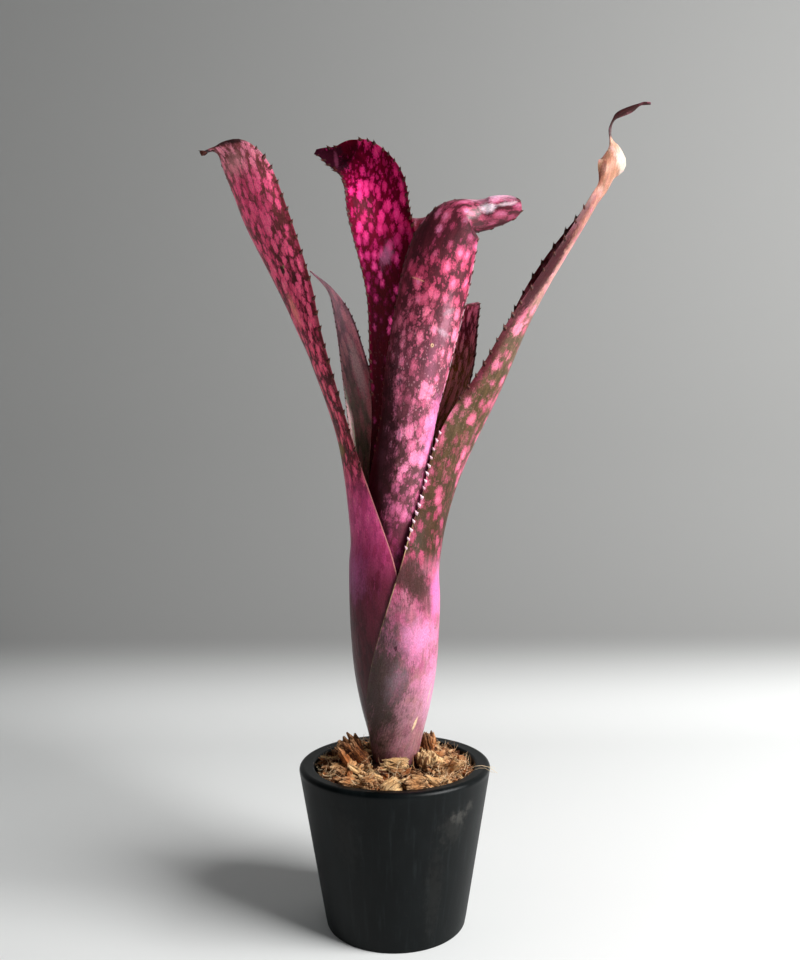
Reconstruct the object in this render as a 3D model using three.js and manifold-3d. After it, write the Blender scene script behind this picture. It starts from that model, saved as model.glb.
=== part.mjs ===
// A potted teng ee billbergia: a tubular bromeliad of seven strap leaves with
// spiny edges, whose nested sheaths make an urn, standing in coconut husk chips
// in a plain tapered pot. Millimetres, +Z up, the viewer's side is -Y.
// The origin is the centre of the pot's underside.
import * as THREE from 'three';
import { mergeVertices } from 'three/addons/utils/BufferGeometryUtils.js';
import Module from 'manifold-3d';

const wasm = await Module();
wasm.setup();

// Pot
const POT_HEIGHT = 86;
const POT_TOP_RADIUS = 52.5;
const POT_FOOT_RADIUS = 38;
const POT_WALL = 2.6;
const POT_FLOOR = 3;
const RIM_WIDTH = 8.4;
const RIM_DEPTH = 6;
const RIM_ROUNDING = 2.6;
const POT_SIDES = 48;
const DRAIN_HOLES = 4;
const DRAIN_HOLE_RADIUS = 4;
const DRAIN_HOLE_CIRCLE = 24;

// Husk bed
const HUSK_EDGE_HEIGHT = 79;
const HUSK_CROWN_HEIGHT = 90;
const CHIP_COUNT = 66;
const CHIP_LENGTH = [9, 15];
const CHIP_SEED = 41;

// Gap that nodes keep where they touch
const GAP = 0.3;

// Urn of nested sheaths: height and outer radius of the outermost layer
const TUBE = [
  [73, 11.8],
  [86, 12.6],
  [100, 15.4],
  [118, 20],
  [136, 23.3],
  [155, 25],
  [175, 25.8],
  [195, 25.8],
  [215, 25.2],
  [235, 24],
];
const LEAF_THICKNESS = 0.8;
const LAYER_PITCH = 1.4;
const BLADE_STEPS = 2;

// Stem under the leaf bases
const STEM_RADIUS = 2.3;
const STEM_TOP = 96;
const CAUDEX_RADIUS = 11.5;
const CAUDEX_BOTTOM = 52;

// Spines of the leaf edges
const SPINE_PITCH = 9;
const SPINE_LENGTH = 1.8;
const SPINE_BASE = 2.2;
const SPINE_ROOT = 1.2;

// Leaves from the outermost layer inwards. Azimuths are in degrees from the
// viewer's side, positive to the right. A wrap row gives a height on the urn and
// how far the sheath turns round it from the midrib to its left and right edges.
// A blade row gives the midrib's place, the azimuth and dip that the outer face
// looks to, and the width and turning of its left and right halves.
const LEAVES = [
  {
    name: 'leaf_right',
    colour: '#b0608c',
    layer: 0,
    facing: 85,
    across: 12,
    levels: 8,
    wraps: [[73, 168, 120], [112, 138, 118], [152, 108, 100], [195, 76, 78]],
    blade: [
      { at: [31, 0, 223], out: [80, 0], half: [27, 25], curl: [65, 60] },
      { at: [42.5, -2, 257], out: [70, 0], half: [25.5, 22.5], curl: [60, 56] },
      { at: [63, 0, 298], out: [71, 0], half: [18, 24], curl: [70, 80] },
      { at: [85.8, 2, 345], out: [98, 0], half: [20, 16], curl: [65, 71] },
      { at: [111.3, 2, 388], out: [107, 0], half: [14, 6.5], curl: [90, 90] },
      { at: [120.5, 1, 401], out: [73, 0], half: [8, 7.5], curl: [79, 62] },
      { at: [125, 0, 411], out: [58, 0], half: [12, 11], curl: [75, 60] },
      { at: [127.5, 0, 419], out: [25, 0], half: [10.5, 10.5], curl: [60, 50] },
      { at: [126.5, 0, 425.5], out: [25, 5], half: [6.5, 6], curl: [45, 45] },
      { at: [124, 0, 430], out: [30, 5], half: [1.3, 1.3], curl: [20, 20] },
      { at: [123.3, 0, 436], out: [20, 0], half: [1.0, 1.0], curl: [20, 20] },
      { at: [125.2, 0, 441.5], out: [10, 5], half: [0.8, 0.9], curl: [20, 20] },
      { at: [128.5, 0, 445], out: [0, 10], half: [2.0, 2.4], curl: [35, 35] },
      { at: [134.5, 0, 447.7], out: [0, 10], half: [2.0, 2.6], curl: [35, 35] },
      { at: [139.5, 0, 449.9], out: [0, 10], half: [0.9, 1.0], curl: [20, 20] },
      { at: [142.5, 0, 450.7], out: [0, 10], half: [1.2, 1.2], curl: [30, 30] },
      { at: [146, 0, 450.6], out: [0, 10], half: [0.9, 0.9], curl: [20, 20] },
    ],
    spines: [285, 395],
  },
  {
    name: 'leaf_left',
    colour: '#b13a63',
    layer: 1,
    facing: -90,
    across: 12,
    levels: 9,
    wraps: [[73, 110, 130], [150, 105, 112], [192, 92, 95], [211, 70, 83], [235, 38, 52]],
    blade: [
      { at: [-30, 0, 262], out: [-88, 0], half: [15, 20], curl: [38, 48] },
      { at: [-44, -1, 305], out: [-84, 0], half: [17, 20.5], curl: [42, 50] },
      { at: [-52, -2, 325], out: [-76, 0], half: [18, 22], curl: [45, 50] },
      { at: [-59.5, -3, 344], out: [-68, 0], half: [20, 24], curl: [50, 50] },
      { at: [-76, -6, 383], out: [-55, 0], half: [20, 25], curl: [50, 50] },
      { at: [-84, -7, 404], out: [-52, 0], half: [17, 24], curl: [50, 50] },
      { at: [-89.5, -7, 416], out: [-52, 0], half: [12, 18.5], curl: [48, 48] },
      { at: [-93.3, -6, 421.6], out: [-58, -10], half: [6.5, 9.8], curl: [42, 42] },
      { at: [-95.8, -6, 423.2], out: [-65, -35], half: [3.8, 3.4], curl: [60, 60] },
      { at: [-98.5, -6, 423.2], out: [-70, -65], half: [2.4, 2.0], curl: [85, 85] },
      { at: [-102.6, -6, 421.8], out: [-70, -70], half: [2.0, 1.6], curl: [85, 85] },
    ],
    spines: [255, 422],
  },
  {
    name: 'leaf_back_right',
    colour: '#7a2c3f',
    layer: 2,
    facing: 150,
    across: 8,
    levels: 9,
    wraps: [[73, 95, 95], [175, 85, 85], [235, 62, 42]],
    blade: [
      { at: [21, 24, 265], out: [145, 0], half: [20, 20], curl: [45, 45] },
      { at: [34, 30, 299], out: [147, 0], half: [20, 19], curl: [42, 42] },
      { at: [39, 36, 332], out: [160, -10], half: [15.5, 16], curl: [35, 35] },
      { at: [41.5, 43, 347], out: [172, -60], half: [12, 14.5], curl: [12, 12] },
      { at: [42, 55, 345], out: [178, -110], half: [8, 8], curl: [25, 25] },
      { at: [43, 62, 336], out: [178, -140], half: [2, 2], curl: [20, 20] },
    ],
    spines: [262, 352],
  },
  {
    name: 'leaf_back_left',
    colour: '#74506a',
    layer: 3,
    facing: -140,
    across: 8,
    levels: 9,
    wraps: [[73, 95, 95], [175, 85, 85], [235, 55, 50]],
    blade: [
      { at: [-16, 21, 270], out: [-145, 0], half: [15, 17], curl: [45, 45] },
      { at: [-22.3, 27, 305], out: [-150, 0], half: [10, 11], curl: [40, 40] },
      { at: [-31.3, 33, 338], out: [-145, -20], half: [8.5, 4.8], curl: [40, 35] },
      { at: [-37.5, 37, 355.5], out: [-135, -30], half: [3.5, 2.5], curl: [30, 30] },
      { at: [-49, 38, 367.5], out: [-120, -50], half: [0.9, 0.9], curl: [20, 20] },
    ],
    spines: [262, 350],
  },
  {
    name: 'leaf_front',
    colour: '#a64a7c',
    layer: 4,
    facing: 4,
    across: 10,
    levels: 9,
    wraps: [[73, 100, 100], [175, 88, 88], [235, 62, 62]],
    blade: [
      { at: [10, -24, 265], out: [6, 0], half: [20, 18], curl: [58, 70] },
      { at: [15, -29, 300], out: [6, 0], half: [21, 21], curl: [60, 60] },
      { at: [23, -36, 340], out: [4, 0], half: [22, 23], curl: [60, 60] },
      { at: [27.5, -40, 359], out: [4, 5], half: [21, 21.5], curl: [60, 60] },
      { at: [32, -42, 369.5], out: [8, 10], half: [18, 18], curl: [60, 55] },
      { at: [38, -42, 377], out: [15, 15], half: [14, 14.5], curl: [60, 55] },
      { at: [47.5, -37.5, 378], out: [15, 0], half: [13.5, 12.5], curl: [85, 85] },
      { at: [52, -38, 378.3], out: [0, -10], half: [13.5, 12.5], curl: [90, 90] },
      { at: [58, -38, 379.5], out: [0, -10], half: [13, 11.5], curl: [90, 90] },
      { at: [64, -38, 380.5], out: [0, -10], half: [10, 8.5], curl: [85, 85] },
      { at: [67.8, -38, 381], out: [0, -10], half: [3.5, 3.5], curl: [60, 60] },
    ],
    spines: [295, 376],
  },
  {
    name: 'leaf_back',
    colour: '#8a3a62',
    layer: 5,
    facing: 165,
    across: 8,
    levels: 9,
    wraps: [[73, 95, 95], [175, 85, 85], [235, 60, 60]],
    blade: [
      { at: [8, 22.5, 270], out: [165, 0], half: [15, 15], curl: [35, 35] },
      { at: [12, 27, 320], out: [168, 0], half: [15, 15], curl: [40, 40] },
      { at: [16, 35, 370], out: [170, 0], half: [14, 14], curl: [35, 35] },
      { at: [17, 42, 397], out: [170, -35], half: [12, 12], curl: [35, 35] },
      { at: [18, 54, 402], out: [170, -85], half: [8, 8], curl: [35, 35] },
      { at: [19, 66, 395], out: [170, -120], half: [1.5, 1.5], curl: [20, 20] },
    ],
    spines: [300, 396],
  },
  {
    name: 'leaf_tall_left',
    colour: '#a01657',
    layer: 6,
    facing: 180,
    across: 8,
    levels: 9,
    wraps: [[73, 95, 95], [175, 85, 85], [235, 62, 62]],
    blade: [
      { at: [3, 17, 270], out: [180, 0], half: [18, 18], curl: [60, 60] },
      { at: [4, 18, 305], out: [182, 0], half: [20, 20], curl: [58, 55] },
      { at: [2, 22, 350], out: [186, 0], half: [20.5, 20.5], curl: [55, 55] },
      { at: [-9, 27, 395], out: [195, 0], half: [22, 21], curl: [50, 50] },
      { at: [-12, 30, 414], out: [190, -8], half: [22, 19], curl: [48, 50] },
      { at: [-19, 34.5, 427], out: [175, -18], half: [19.5, 13.5], curl: [45, 45] },
      { at: [-24.5, 38, 432.5], out: [150, -22], half: [16, 11], curl: [45, 45] },
      { at: [-27, 43, 435.5], out: [170, -10], half: [14, 9.6], curl: [40, 40] },
      { at: [-35, 46, 438.5], out: [178, -8], half: [8.8, 6.5], curl: [35, 35] },
      { at: [-41.5, 48, 442.3], out: [178, -8], half: [4.4, 3.2], curl: [30, 30] },
      { at: [-46, 50, 444.3], out: [178, -8], half: [1.9, 1.9], curl: [20, 20] },
    ],
    spines: [300, 440],
  },
];

function colourOf(hex, roughness) {
  return new THREE.MeshStandardMaterial({ color: hex, roughness, metalness: 0, side: THREE.DoubleSide });
}

// A seeded random draw between 0 and 1.
function randomDraws(seed) {
  let state = seed >>> 0;
  return () => {
    state = (Math.imul(state, 1664525) + 1013904223) >>> 0;
    return state / 4294967296;
  };
}

function solidFrom(geometry) {
  const bare = geometry.index ? geometry.clone() : geometry;
  for (const name of ['normal', 'uv']) bare.deleteAttribute(name);
  const merged = mergeVertices(bare, 1e-4);
  return new wasm.Manifold(new wasm.Mesh({
    numProp: 3,
    vertProperties: new Float32Array(merged.attributes.position.array),
    triVerts: new Uint32Array(merged.index.array),
  }));
}

function geometryFrom(solid) {
  const mesh = solid.getMesh();
  const geometry = new THREE.BufferGeometry();
  geometry.setAttribute('position', new THREE.BufferAttribute(new Float32Array(mesh.vertProperties), 3));
  geometry.setIndex(new THREE.BufferAttribute(new Uint32Array(mesh.triVerts), 1));
  geometry.computeVertexNormals();
  return geometry;
}

function geometryFromFaces(points, triangles) {
  const geometry = new THREE.BufferGeometry();
  geometry.setAttribute('position', new THREE.Float32BufferAttribute(points.flatMap((p) => p.toArray()), 3));
  geometry.setIndex(triangles.flat());
  return geometry;
}

// A solid of revolution about +Z from [radius, height] pairs.
function turned(profile, sides) {
  const points = profile.map(([radius, height]) => new THREE.Vector2(radius, height));
  return new THREE.LatheGeometry(points, sides).rotateX(Math.PI / 2);
}

function named(name, geometry, material) {
  const mesh = new THREE.Mesh(geometry, material);
  mesh.name = name;
  return mesh;
}

// Pot: a tapered wall with a flat floor, a wide rim turned inwards and drain holes.
function wallInside(height) {
  const outside = THREE.MathUtils.lerp(POT_FOOT_RADIUS, POT_TOP_RADIUS, height / (POT_HEIGHT - RIM_ROUNDING));
  return outside - POT_WALL;
}

const RIM_INSIDE = POT_TOP_RADIUS - RIM_WIDTH;
const RIM_UNDERSIDE = POT_HEIGHT - RIM_DEPTH;

function potGeometry() {
  const profile = [
    [0, 0],
    [POT_FOOT_RADIUS - 0.8, 0],
    [POT_FOOT_RADIUS, 0.8],
    [POT_TOP_RADIUS, POT_HEIGHT - RIM_ROUNDING],
    [POT_TOP_RADIUS - 0.3 * RIM_ROUNDING, POT_HEIGHT - 0.3 * RIM_ROUNDING],
    [POT_TOP_RADIUS - RIM_ROUNDING, POT_HEIGHT],
    [RIM_INSIDE + 0.8, POT_HEIGHT - 0.8],
    [RIM_INSIDE, POT_HEIGHT - 1.8],
    [RIM_INSIDE, RIM_UNDERSIDE],
    [wallInside(RIM_UNDERSIDE - 3), RIM_UNDERSIDE - 3],
    [wallInside(POT_FLOOR), POT_FLOOR],
    [0, POT_FLOOR],
  ];
  let pot = solidFrom(turned(profile, POT_SIDES));
  for (let i = 0; i < DRAIN_HOLES; i += 1) {
    const angle = (i + 0.5) * 2 * Math.PI / DRAIN_HOLES;
    const hole = new THREE.CylinderGeometry(DRAIN_HOLE_RADIUS, DRAIN_HOLE_RADIUS, 3 * POT_FLOOR, 12);
    hole.rotateX(Math.PI / 2);
    hole.translate(DRAIN_HOLE_CIRCLE * Math.cos(angle), DRAIN_HOLE_CIRCLE * Math.sin(angle), 0);
    pot = pot.subtract(solidFrom(hole));
  }
  return geometryFrom(pot);
}

// Stem: a short caudex under the leaf bases and a slim core inside the innermost sheath.
function stemGeometry() {
  const seat = TUBE[0][0] - GAP;
  return turned([
    [0, CAUDEX_BOTTOM],
    [CAUDEX_RADIUS * 0.5, CAUDEX_BOTTOM],
    [CAUDEX_RADIUS * 0.85, CAUDEX_BOTTOM + 4],
    [CAUDEX_RADIUS, CAUDEX_BOTTOM + 10],
    [CAUDEX_RADIUS, seat],
    [STEM_RADIUS, seat],
    [STEM_RADIUS, STEM_TOP - 4],
    [STEM_RADIUS * 0.5, STEM_TOP],
    [0, STEM_TOP],
  ], 16);
}

// Husk bed: a filling with a plain hole for the plant, and angular chips sunk in its top.
function chipGeometry(random) {
  const long = THREE.MathUtils.lerp(...CHIP_LENGTH, random());
  const chip = new THREE.BoxGeometry(long, long * (0.4 + 0.3 * random()), long * (0.28 + 0.2 * random()));
  const corners = chip.attributes.position;
  const moved = new Map();
  for (let i = 0; i < corners.count; i += 1) {
    const key = ['getX', 'getY', 'getZ'].map((get) => Math.sign(corners[get](i))).join();
    if (!moved.has(key)) moved.set(key, [0, 1, 2].map(() => 0.7 + 0.45 * random()));
    const [sx, sy, sz] = moved.get(key);
    corners.setXYZ(i, corners.getX(i) * sx, corners.getY(i) * sy, corners.getZ(i) * sz);
  }
  return chip;
}

function huskGeometry() {
  const wall = (height) => wallInside(height) - GAP;
  const lip = RIM_INSIDE - GAP;
  let husk = solidFrom(turned([
    [0, POT_FLOOR + GAP],
    [wall(POT_FLOOR), POT_FLOOR + GAP],
    [wall(RIM_UNDERSIDE - 4), RIM_UNDERSIDE - 4],
    [lip, RIM_UNDERSIDE - 3],
    [lip, HUSK_EDGE_HEIGHT + 1],
    [lip * 0.6, HUSK_CROWN_HEIGHT - 1],
    [0, HUSK_CROWN_HEIGHT],
  ], POT_SIDES));
  const random = randomDraws(CHIP_SEED);
  for (let i = 0; i < CHIP_COUNT; i += 1) {
    const spread = Math.sqrt((i + 0.5) / CHIP_COUNT);
    const angle = i * 2.399963 + 0.5 * random();
    const out = 15 + (lip - 21) * spread;
    const chip = chipGeometry(random);
    chip.rotateX((random() - 0.5) * 1.3);
    chip.rotateY((random() - 0.5) * 1.1);
    chip.rotateZ(random() * 2 * Math.PI);
    const top = THREE.MathUtils.lerp(HUSK_CROWN_HEIGHT, HUSK_EDGE_HEIGHT + 1, spread);
    chip.translate(out * Math.cos(angle), out * Math.sin(angle), top + 1.2 * random());
    husk = husk.add(solidFrom(chip));
  }
  const inside = turned([[0, 0], [lip, 0], [lip, 2 * POT_HEIGHT], [0, 2 * POT_HEIGHT]], POT_SIDES);
  const below = turned([
    [0, 0], [POT_TOP_RADIUS, 0], [POT_TOP_RADIUS, RIM_UNDERSIDE - 3.5], [0, RIM_UNDERSIDE - 3.5],
  ], POT_SIDES);
  husk = husk.intersect(solidFrom(inside).add(solidFrom(below)));
  const plantHole = [[0, CAUDEX_BOTTOM - GAP], [CAUDEX_RADIUS + 2 * GAP, CAUDEX_BOTTOM - GAP]];
  for (const [height, radius] of TUBE.slice(0, 4)) plantHole.push([radius + 2 * GAP, height]);
  plantHole.push([0, TUBE[3][0]]);
  const pieces = husk.subtract(solidFrom(turned(plantHole, 24))).decompose();
  return geometryFrom(pieces.reduce((a, b) => (b.volume() > a.volume() ? b : a)));
}

// Direction in space for an azimuth from the viewer's side and a dip above level.
function direction([azimuth, dip]) {
  const a = THREE.MathUtils.degToRad(azimuth);
  const d = THREE.MathUtils.degToRad(dip);
  return [Math.cos(d) * Math.sin(a), -Math.cos(d) * Math.cos(a), Math.sin(d)];
}

function between(rows, height) {
  const last = rows.length - 1;
  if (height >= rows[last][0]) return rows[last].slice(1);
  const next = Math.max(1, rows.findIndex((row) => row[0] > height));
  const share = (height - rows[next - 1][0]) / (rows[next][0] - rows[next - 1][0]);
  return rows[next].slice(1).map((v, k) => THREE.MathUtils.lerp(rows[next - 1][k + 1], v, share));
}

// A station is [x, y, z, outward x, y, z, left width, left turn, right width, right turn, lean].
// Lean is 0 where the section is level, as on the urn, and 1 where it is square to the midrib.
function sheathStation(leaf, [height, outerRadius]) {
  const radius = outerRadius - leaf.layer * LAYER_PITCH;
  const [left, right] = between(leaf.wraps, height).map(THREE.MathUtils.degToRad);
  const out = direction([leaf.facing, 0]);
  return [radius * out[0], radius * out[1], height, ...out, radius * left, left, radius * right, right, 0];
}

function bladeStation({ at, out, half, curl }) {
  const [left, right] = curl.map(THREE.MathUtils.degToRad);
  return [...at, ...direction(out), half[0], left, half[1], right, 1];
}

function catmullRom(a, b, c, d, t) {
  return 0.5 * (2 * b + (c - a) * t + (2 * a - 5 * b + 4 * c - d) * t * t + (3 * b - a - 3 * c + d) * t * t * t);
}

function leafStations(leaf) {
  const sheath = TUBE.slice(0, leaf.levels).map((level) => sheathStation(leaf, level));
  const blade = leaf.blade.map(bladeStation);
  const all = [...sheath, ...blade];
  const stations = [...sheath];
  for (let i = sheath.length - 1; i < all.length - 1; i += 1) {
    const [a, b, c, d] = [all[i - 1], all[i], all[i + 1], all[Math.min(i + 2, all.length - 1)]];
    for (let step = 1; step <= BLADE_STEPS; step += 1) {
      stations.push(b.map((_, k) => catmullRom(a[k], b[k], c[k], d[k], step / BLADE_STEPS)));
    }
  }
  return stations;
}

// Points of a leaf's outer and inner faces, row by row from its base to its tip.
function leafRows(leaf) {
  const stations = leafStations(leaf);
  const middles = stations.map((s) => new THREE.Vector3(s[0], s[1], s[2]));
  return stations.map((s, i) => {
    const along = middles[Math.min(i + 1, middles.length - 1)].clone()
      .sub(middles[Math.max(i - 1, 0)]).normalize();
    const square = new THREE.Vector3(0, 0, 1).lerp(along, THREE.MathUtils.clamp(s[10], 0, 1)).normalize();
    const out = new THREE.Vector3(s[3], s[4], s[5]);
    out.addScaledVector(square, -out.dot(square)).normalize();
    const side = new THREE.Vector3().crossVectors(square, out);
    const outer = [];
    const inner = [];
    for (let k = 0; k <= leaf.across; k += 1) {
      const share = 2 * k / leaf.across - 1;
      const [width, turn] = share < 0 ? [s[6], s[7]] : [s[8], s[9]];
      const radius = width / turn;
      const angle = share * turn;
      const normal = out.clone().multiplyScalar(Math.cos(angle)).addScaledVector(side, Math.sin(angle));
      const point = middles[i].clone().addScaledVector(out, -radius).addScaledVector(normal, radius);
      outer.push(point);
      inner.push(point.clone().addScaledVector(normal, -LEAF_THICKNESS));
    }
    return { outer, inner };
  });
}

function bladeGeometry(rows, across) {
  const width = across + 1;
  const points = [...rows.flatMap((row) => row.outer), ...rows.flatMap((row) => row.inner)];
  const half = rows.length * width;
  const triangles = [];
  const quad = (a, b, c, d) => triangles.push([a, b, c], [a, c, d]);
  for (let i = 0; i < rows.length - 1; i += 1) {
    for (let k = 0; k < across; k += 1) {
      const a = i * width + k;
      const [b, c, d] = [a + 1, a + 1 + width, a + width];
      const split = k < across / 2 ? [[a, b, d], [b, c, d]] : [[a, b, c], [a, c, d]];
      for (const [p, q, r] of split) triangles.push([p, q, r], [half + p, half + r, half + q]);
    }
    const left = i * width;
    const right = left + across;
    quad(left, left + width, half + left + width, half + left);
    quad(right, half + right, half + right + width, right + width);
  }
  const tip = (rows.length - 1) * width;
  for (let k = 0; k < across; k += 1) {
    quad(k, half + k, half + k + 1, k + 1);
    quad(tip + k, tip + k + 1, half + tip + k + 1, half + tip + k);
  }
  return geometryFromFaces(points, triangles);
}

// One three-sided spine, its root sunk in the leaf's edge and its point turned to the tip.
function spineGeometry(root, outwards, forwards, faceNormal) {
  const at = (out, forward, lift) => root.clone()
    .addScaledVector(outwards, out)
    .addScaledVector(forwards, forward)
    .addScaledVector(faceNormal, lift);
  const points = [
    at(-SPINE_ROOT, -SPINE_BASE / 2, 0.28),
    at(-SPINE_ROOT, SPINE_BASE / 2, 0.28),
    at(-SPINE_ROOT, 0, -0.28),
    at(SPINE_LENGTH * 0.8, SPINE_LENGTH * 0.6, 0),
  ];
  return geometryFromFaces(points, [[0, 2, 1], [0, 1, 3], [1, 2, 3], [2, 0, 3]]);
}

function leafSpines(rows, leaf) {
  const spines = [];
  for (const side of [0, leaf.across]) {
    const inwards = side === 0 ? 1 : -1;
    let travelled = SPINE_PITCH * (side === 0 ? 0.5 : 0.2);
    for (let i = 1; i < rows.length; i += 1) {
      const middle = (row) => row.outer[side].clone().add(row.inner[side]).multiplyScalar(0.5);
      const start = middle(rows[i - 1]);
      const step = middle(rows[i]).sub(start);
      const length = step.length();
      const forwards = step.clone().normalize();
      for (; travelled < length; travelled += SPINE_PITCH) {
        const root = start.clone().addScaledVector(forwards, travelled);
        if (root.z < leaf.spines[0] || root.z > leaf.spines[1]) continue;
        const outwards = rows[i].outer[side].clone().sub(rows[i].outer[side + inwards]);
        outwards.addScaledVector(forwards, -outwards.dot(forwards)).normalize();
        const faceNormal = new THREE.Vector3().crossVectors(forwards, outwards);
        spines.push(spineGeometry(root, outwards, forwards, faceNormal));
      }
      travelled -= length;
    }
  }
  return spines;
}

function leafGeometry(leaf) {
  const rows = leafRows(leaf);
  let solid = solidFrom(bladeGeometry(rows, leaf.across));
  for (const spine of leafSpines(rows, leaf)) solid = solid.add(solidFrom(spine));
  return geometryFrom(solid);
}

const plant = new THREE.Group();
plant.add(named('pot', potGeometry(), colourOf('#2b2d2f', 0.7)));
plant.add(named('husk_bed', huskGeometry(), colourOf('#b4713c', 0.95)));
plant.add(named('stem', stemGeometry(), colourOf('#8a6f4f', 0.8)));
for (const leaf of LEAVES) plant.add(named(leaf.name, leafGeometry(leaf), colourOf(leaf.colour, 0.45)));

export default plant;
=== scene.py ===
"""Looks of a potted teng ee billbergia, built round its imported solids.

Sizes are in millimetres until a mesh is made, which turns them into metres. The viewer's side is -Y.
"""

import math
import random

import bpy
import numpy as np
from mathutils import Euler, Matrix, Vector, noise


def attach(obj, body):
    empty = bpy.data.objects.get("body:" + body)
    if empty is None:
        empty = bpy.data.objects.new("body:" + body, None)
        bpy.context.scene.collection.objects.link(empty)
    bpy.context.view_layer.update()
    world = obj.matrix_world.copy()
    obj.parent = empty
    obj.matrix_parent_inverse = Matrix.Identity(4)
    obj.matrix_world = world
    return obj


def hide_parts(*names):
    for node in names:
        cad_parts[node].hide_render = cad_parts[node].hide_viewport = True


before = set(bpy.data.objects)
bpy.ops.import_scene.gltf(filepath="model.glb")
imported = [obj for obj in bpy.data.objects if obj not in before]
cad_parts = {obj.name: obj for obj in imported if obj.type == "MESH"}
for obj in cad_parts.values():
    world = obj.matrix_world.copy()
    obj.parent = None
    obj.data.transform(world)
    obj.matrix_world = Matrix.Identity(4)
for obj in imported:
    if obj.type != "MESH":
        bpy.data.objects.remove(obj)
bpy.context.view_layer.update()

MM = 0.001

# Photograph's camera
CAMERA_PLACE = (4.2, -475.0, 236.2)
CAMERA_PITCH = 0.62
CAMERA_ROLL = -0.49
FOCAL_PIXELS = 855
PHOTO_HEIGHT = 960
SENSOR = 36.0

# Light and stage, in metres and watts. The backdrop is a floor that curves up into a wall.
LIGHT_TARGET = (0, 0, 0.22)
WINDOW = dict(place=(1.12, -0.58, 0.88), size=0.9, power=42)
FILL = dict(place=(-1.3, -0.2, 0.5), size=1.2, power=2.2)
SKY_COLOUR = (0.9, 0.95, 1, 1)
SKY_STRENGTH = 0.075
STAGE_FRONT = -2.5
STAGE_BACK = 0.32
STAGE_CURVE = 0.3
STAGE_TOP = 3.0
STAGE_HALF_WIDTH = 3.5
STAGE_STEPS = 12
FLOOR_COLOUR = (0.8, 0.81, 0.8)
WALL_COLOUR = (0.25, 0.25, 0.245)
WALL_COLOUR_FROM = 70

# Pot
POT_HEIGHT = 86
POT_TOP_RADIUS = 52.5
POT_FOOT_RADIUS = 38
POT_WALL = 2.6
POT_FLOOR = 3
FOOT_ROUNDING = 0.8
RIM_WIDTH = 8.4
RIM_DEPTH = 6
RIM_ROUNDING = 2.6
RIM_FILLET = 3
RIM_BEVEL = 0.5
LIP_ROUNDING = 1.6
LIP_DROP = 2.2
POT_SIDES = 144
DRAIN_HOLES = 4
DRAIN_HOLE_RADIUS = 4
DRAIN_HOLE_CIRCLE = 24
DRAIN_HOLE_SIDES = 32
POT_COLOURS = ((0.0008, 0.0018, 0.002), (0.0026, 0.0042, 0.0046))
POT_STREAK_COLOUR = (0.013, 0.017, 0.018)
POT_DUST_COLOUR = (0.2, 0.19, 0.17)
POT_SCUFF_COLOUR = (0.08, 0.08, 0.077)
RUBBED_COLOUR = (0.16, 0.15, 0.135)
# Rubbed places on the pot's side: way round it and height, half width and half height, tilt in degrees,
# and strength
RUBBED_PLACES = [
    ((-45, 69), (7, 4.5), 0, 0.2),
    ((-37, 73), (5, 4), 20, 0.15),
    ((-48, 64), (12, 12), 0, 0.06),
    ((-58, 30), (8, 34), 0, 0.035),
    ((-110, 60), (12, 24), 0, 0.03),
]

# Husk: a heap of chips that falls from the plant to the rim
HUSK_EDGE_HEIGHT = 82
HUSK_CROWN_HEIGHT = 93
HUSK_INNER_RADIUS = 14
HUSK_OUTER_RADIUS = 43.8
HUSK_FALL = 1.3
HUSK_MARGIN = 2
PLANT_GAP = 0.4
BED_DEPTH = 6
BED_HOLE_FOOT = 60
HUSK_GAP = 0.3
HUSK_SEED = 7
CHIP_COUNT = 210
CHIP_LENGTH = (6, 13)
# Limits of a chip's width and thickness as shares of its length, its lift above the heap and its turns
CHIP_WIDTH = (0.35, 0.7)
CHIP_THICKNESS = (0.3, 0.55)
CHIP_LIFT = (-3.5, 1.2)
CHIP_SWING = (-0.4, 0.4)
CHIP_TURNS = ((-60, 60), (-38, 38), (0, 360))
STRANDS = 12
STRAND_RINGS = 6
STRAND_SIDES = 5
STRAND_RADIUS = (0.7, 1.3)
STRAND_TAPER = ([0, 0.2, 0.8, 1], [0.25, 1, 1, 0.25])
STRAND_FRAYING = 0.09
STRAND_REACH = (0.6, 1.05)
STRAND_ROUGHNESS = 0.5
GOLDEN_ANGLE = 2.399963
# Chunks that stand out: middle, length, width and thickness, turns in degrees, paleness and strands
BIG_CHIPS = [
    ((-23, -7, 92), (21, 10, 9), (0, 52, 4), 0.05, 46),
    ((19.5, 13, 91.5), (13, 6.5, 6), (0, 84, 0), 0.15, 26),
    ((18.6, -11, 88.5), (11.5, 13, 5), (20, 78, 60), 0.95, 46),
    ((0, -19, 90.5), (15, 5, 4), (20, -8, -12), 0.95, 34),
    ((-9, 24, 88), (12, 7, 6), (0, 20, 30), 0.3, 22),
    ((31, -14, 86.5), (12, 5, 4), (0, -35, -30), 0.75, 18),
    ((10, -37, 84.5), (13, 6, 6), (0, 5, 10), 0.4, 22),
    ((-14, -36, 84), (11, 7, 6), (30, 12, 120), 0.35, 22),
]
FIBRE_COUNT = 800
FIBRE_SIDES = 3
FIBRE_STEPS = 7
FIBRE_LENGTH = (2.5, 9)
FIBRE_RADIUS = (0.07, 0.17)
FIBRE_LIFT = (-1.5, 2.5)
FIBRE_BEND = 0.22
FIBRE_TAPER = 0.4
# Loose fibres that stand out: path and radius
STRAY_FIBRES = [
    ([(38, -20, 86), (42.3, -24, 90.4), (45.5, -27, 91.6), (48.6, -30, 91.8), (51, -32.5, 91),
      (53, -34, 89.8)], 0.24),
    ([(41, -21, 87), (44.5, -26, 90), (47, -30, 91.2), (50, -33.5, 90.4), (51.5, -35, 90.6)], 0.15),
    ([(48.6, -30, 91.8), (50.5, -31.5, 92.4), (52, -33, 92)], 0.12),
]
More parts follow.
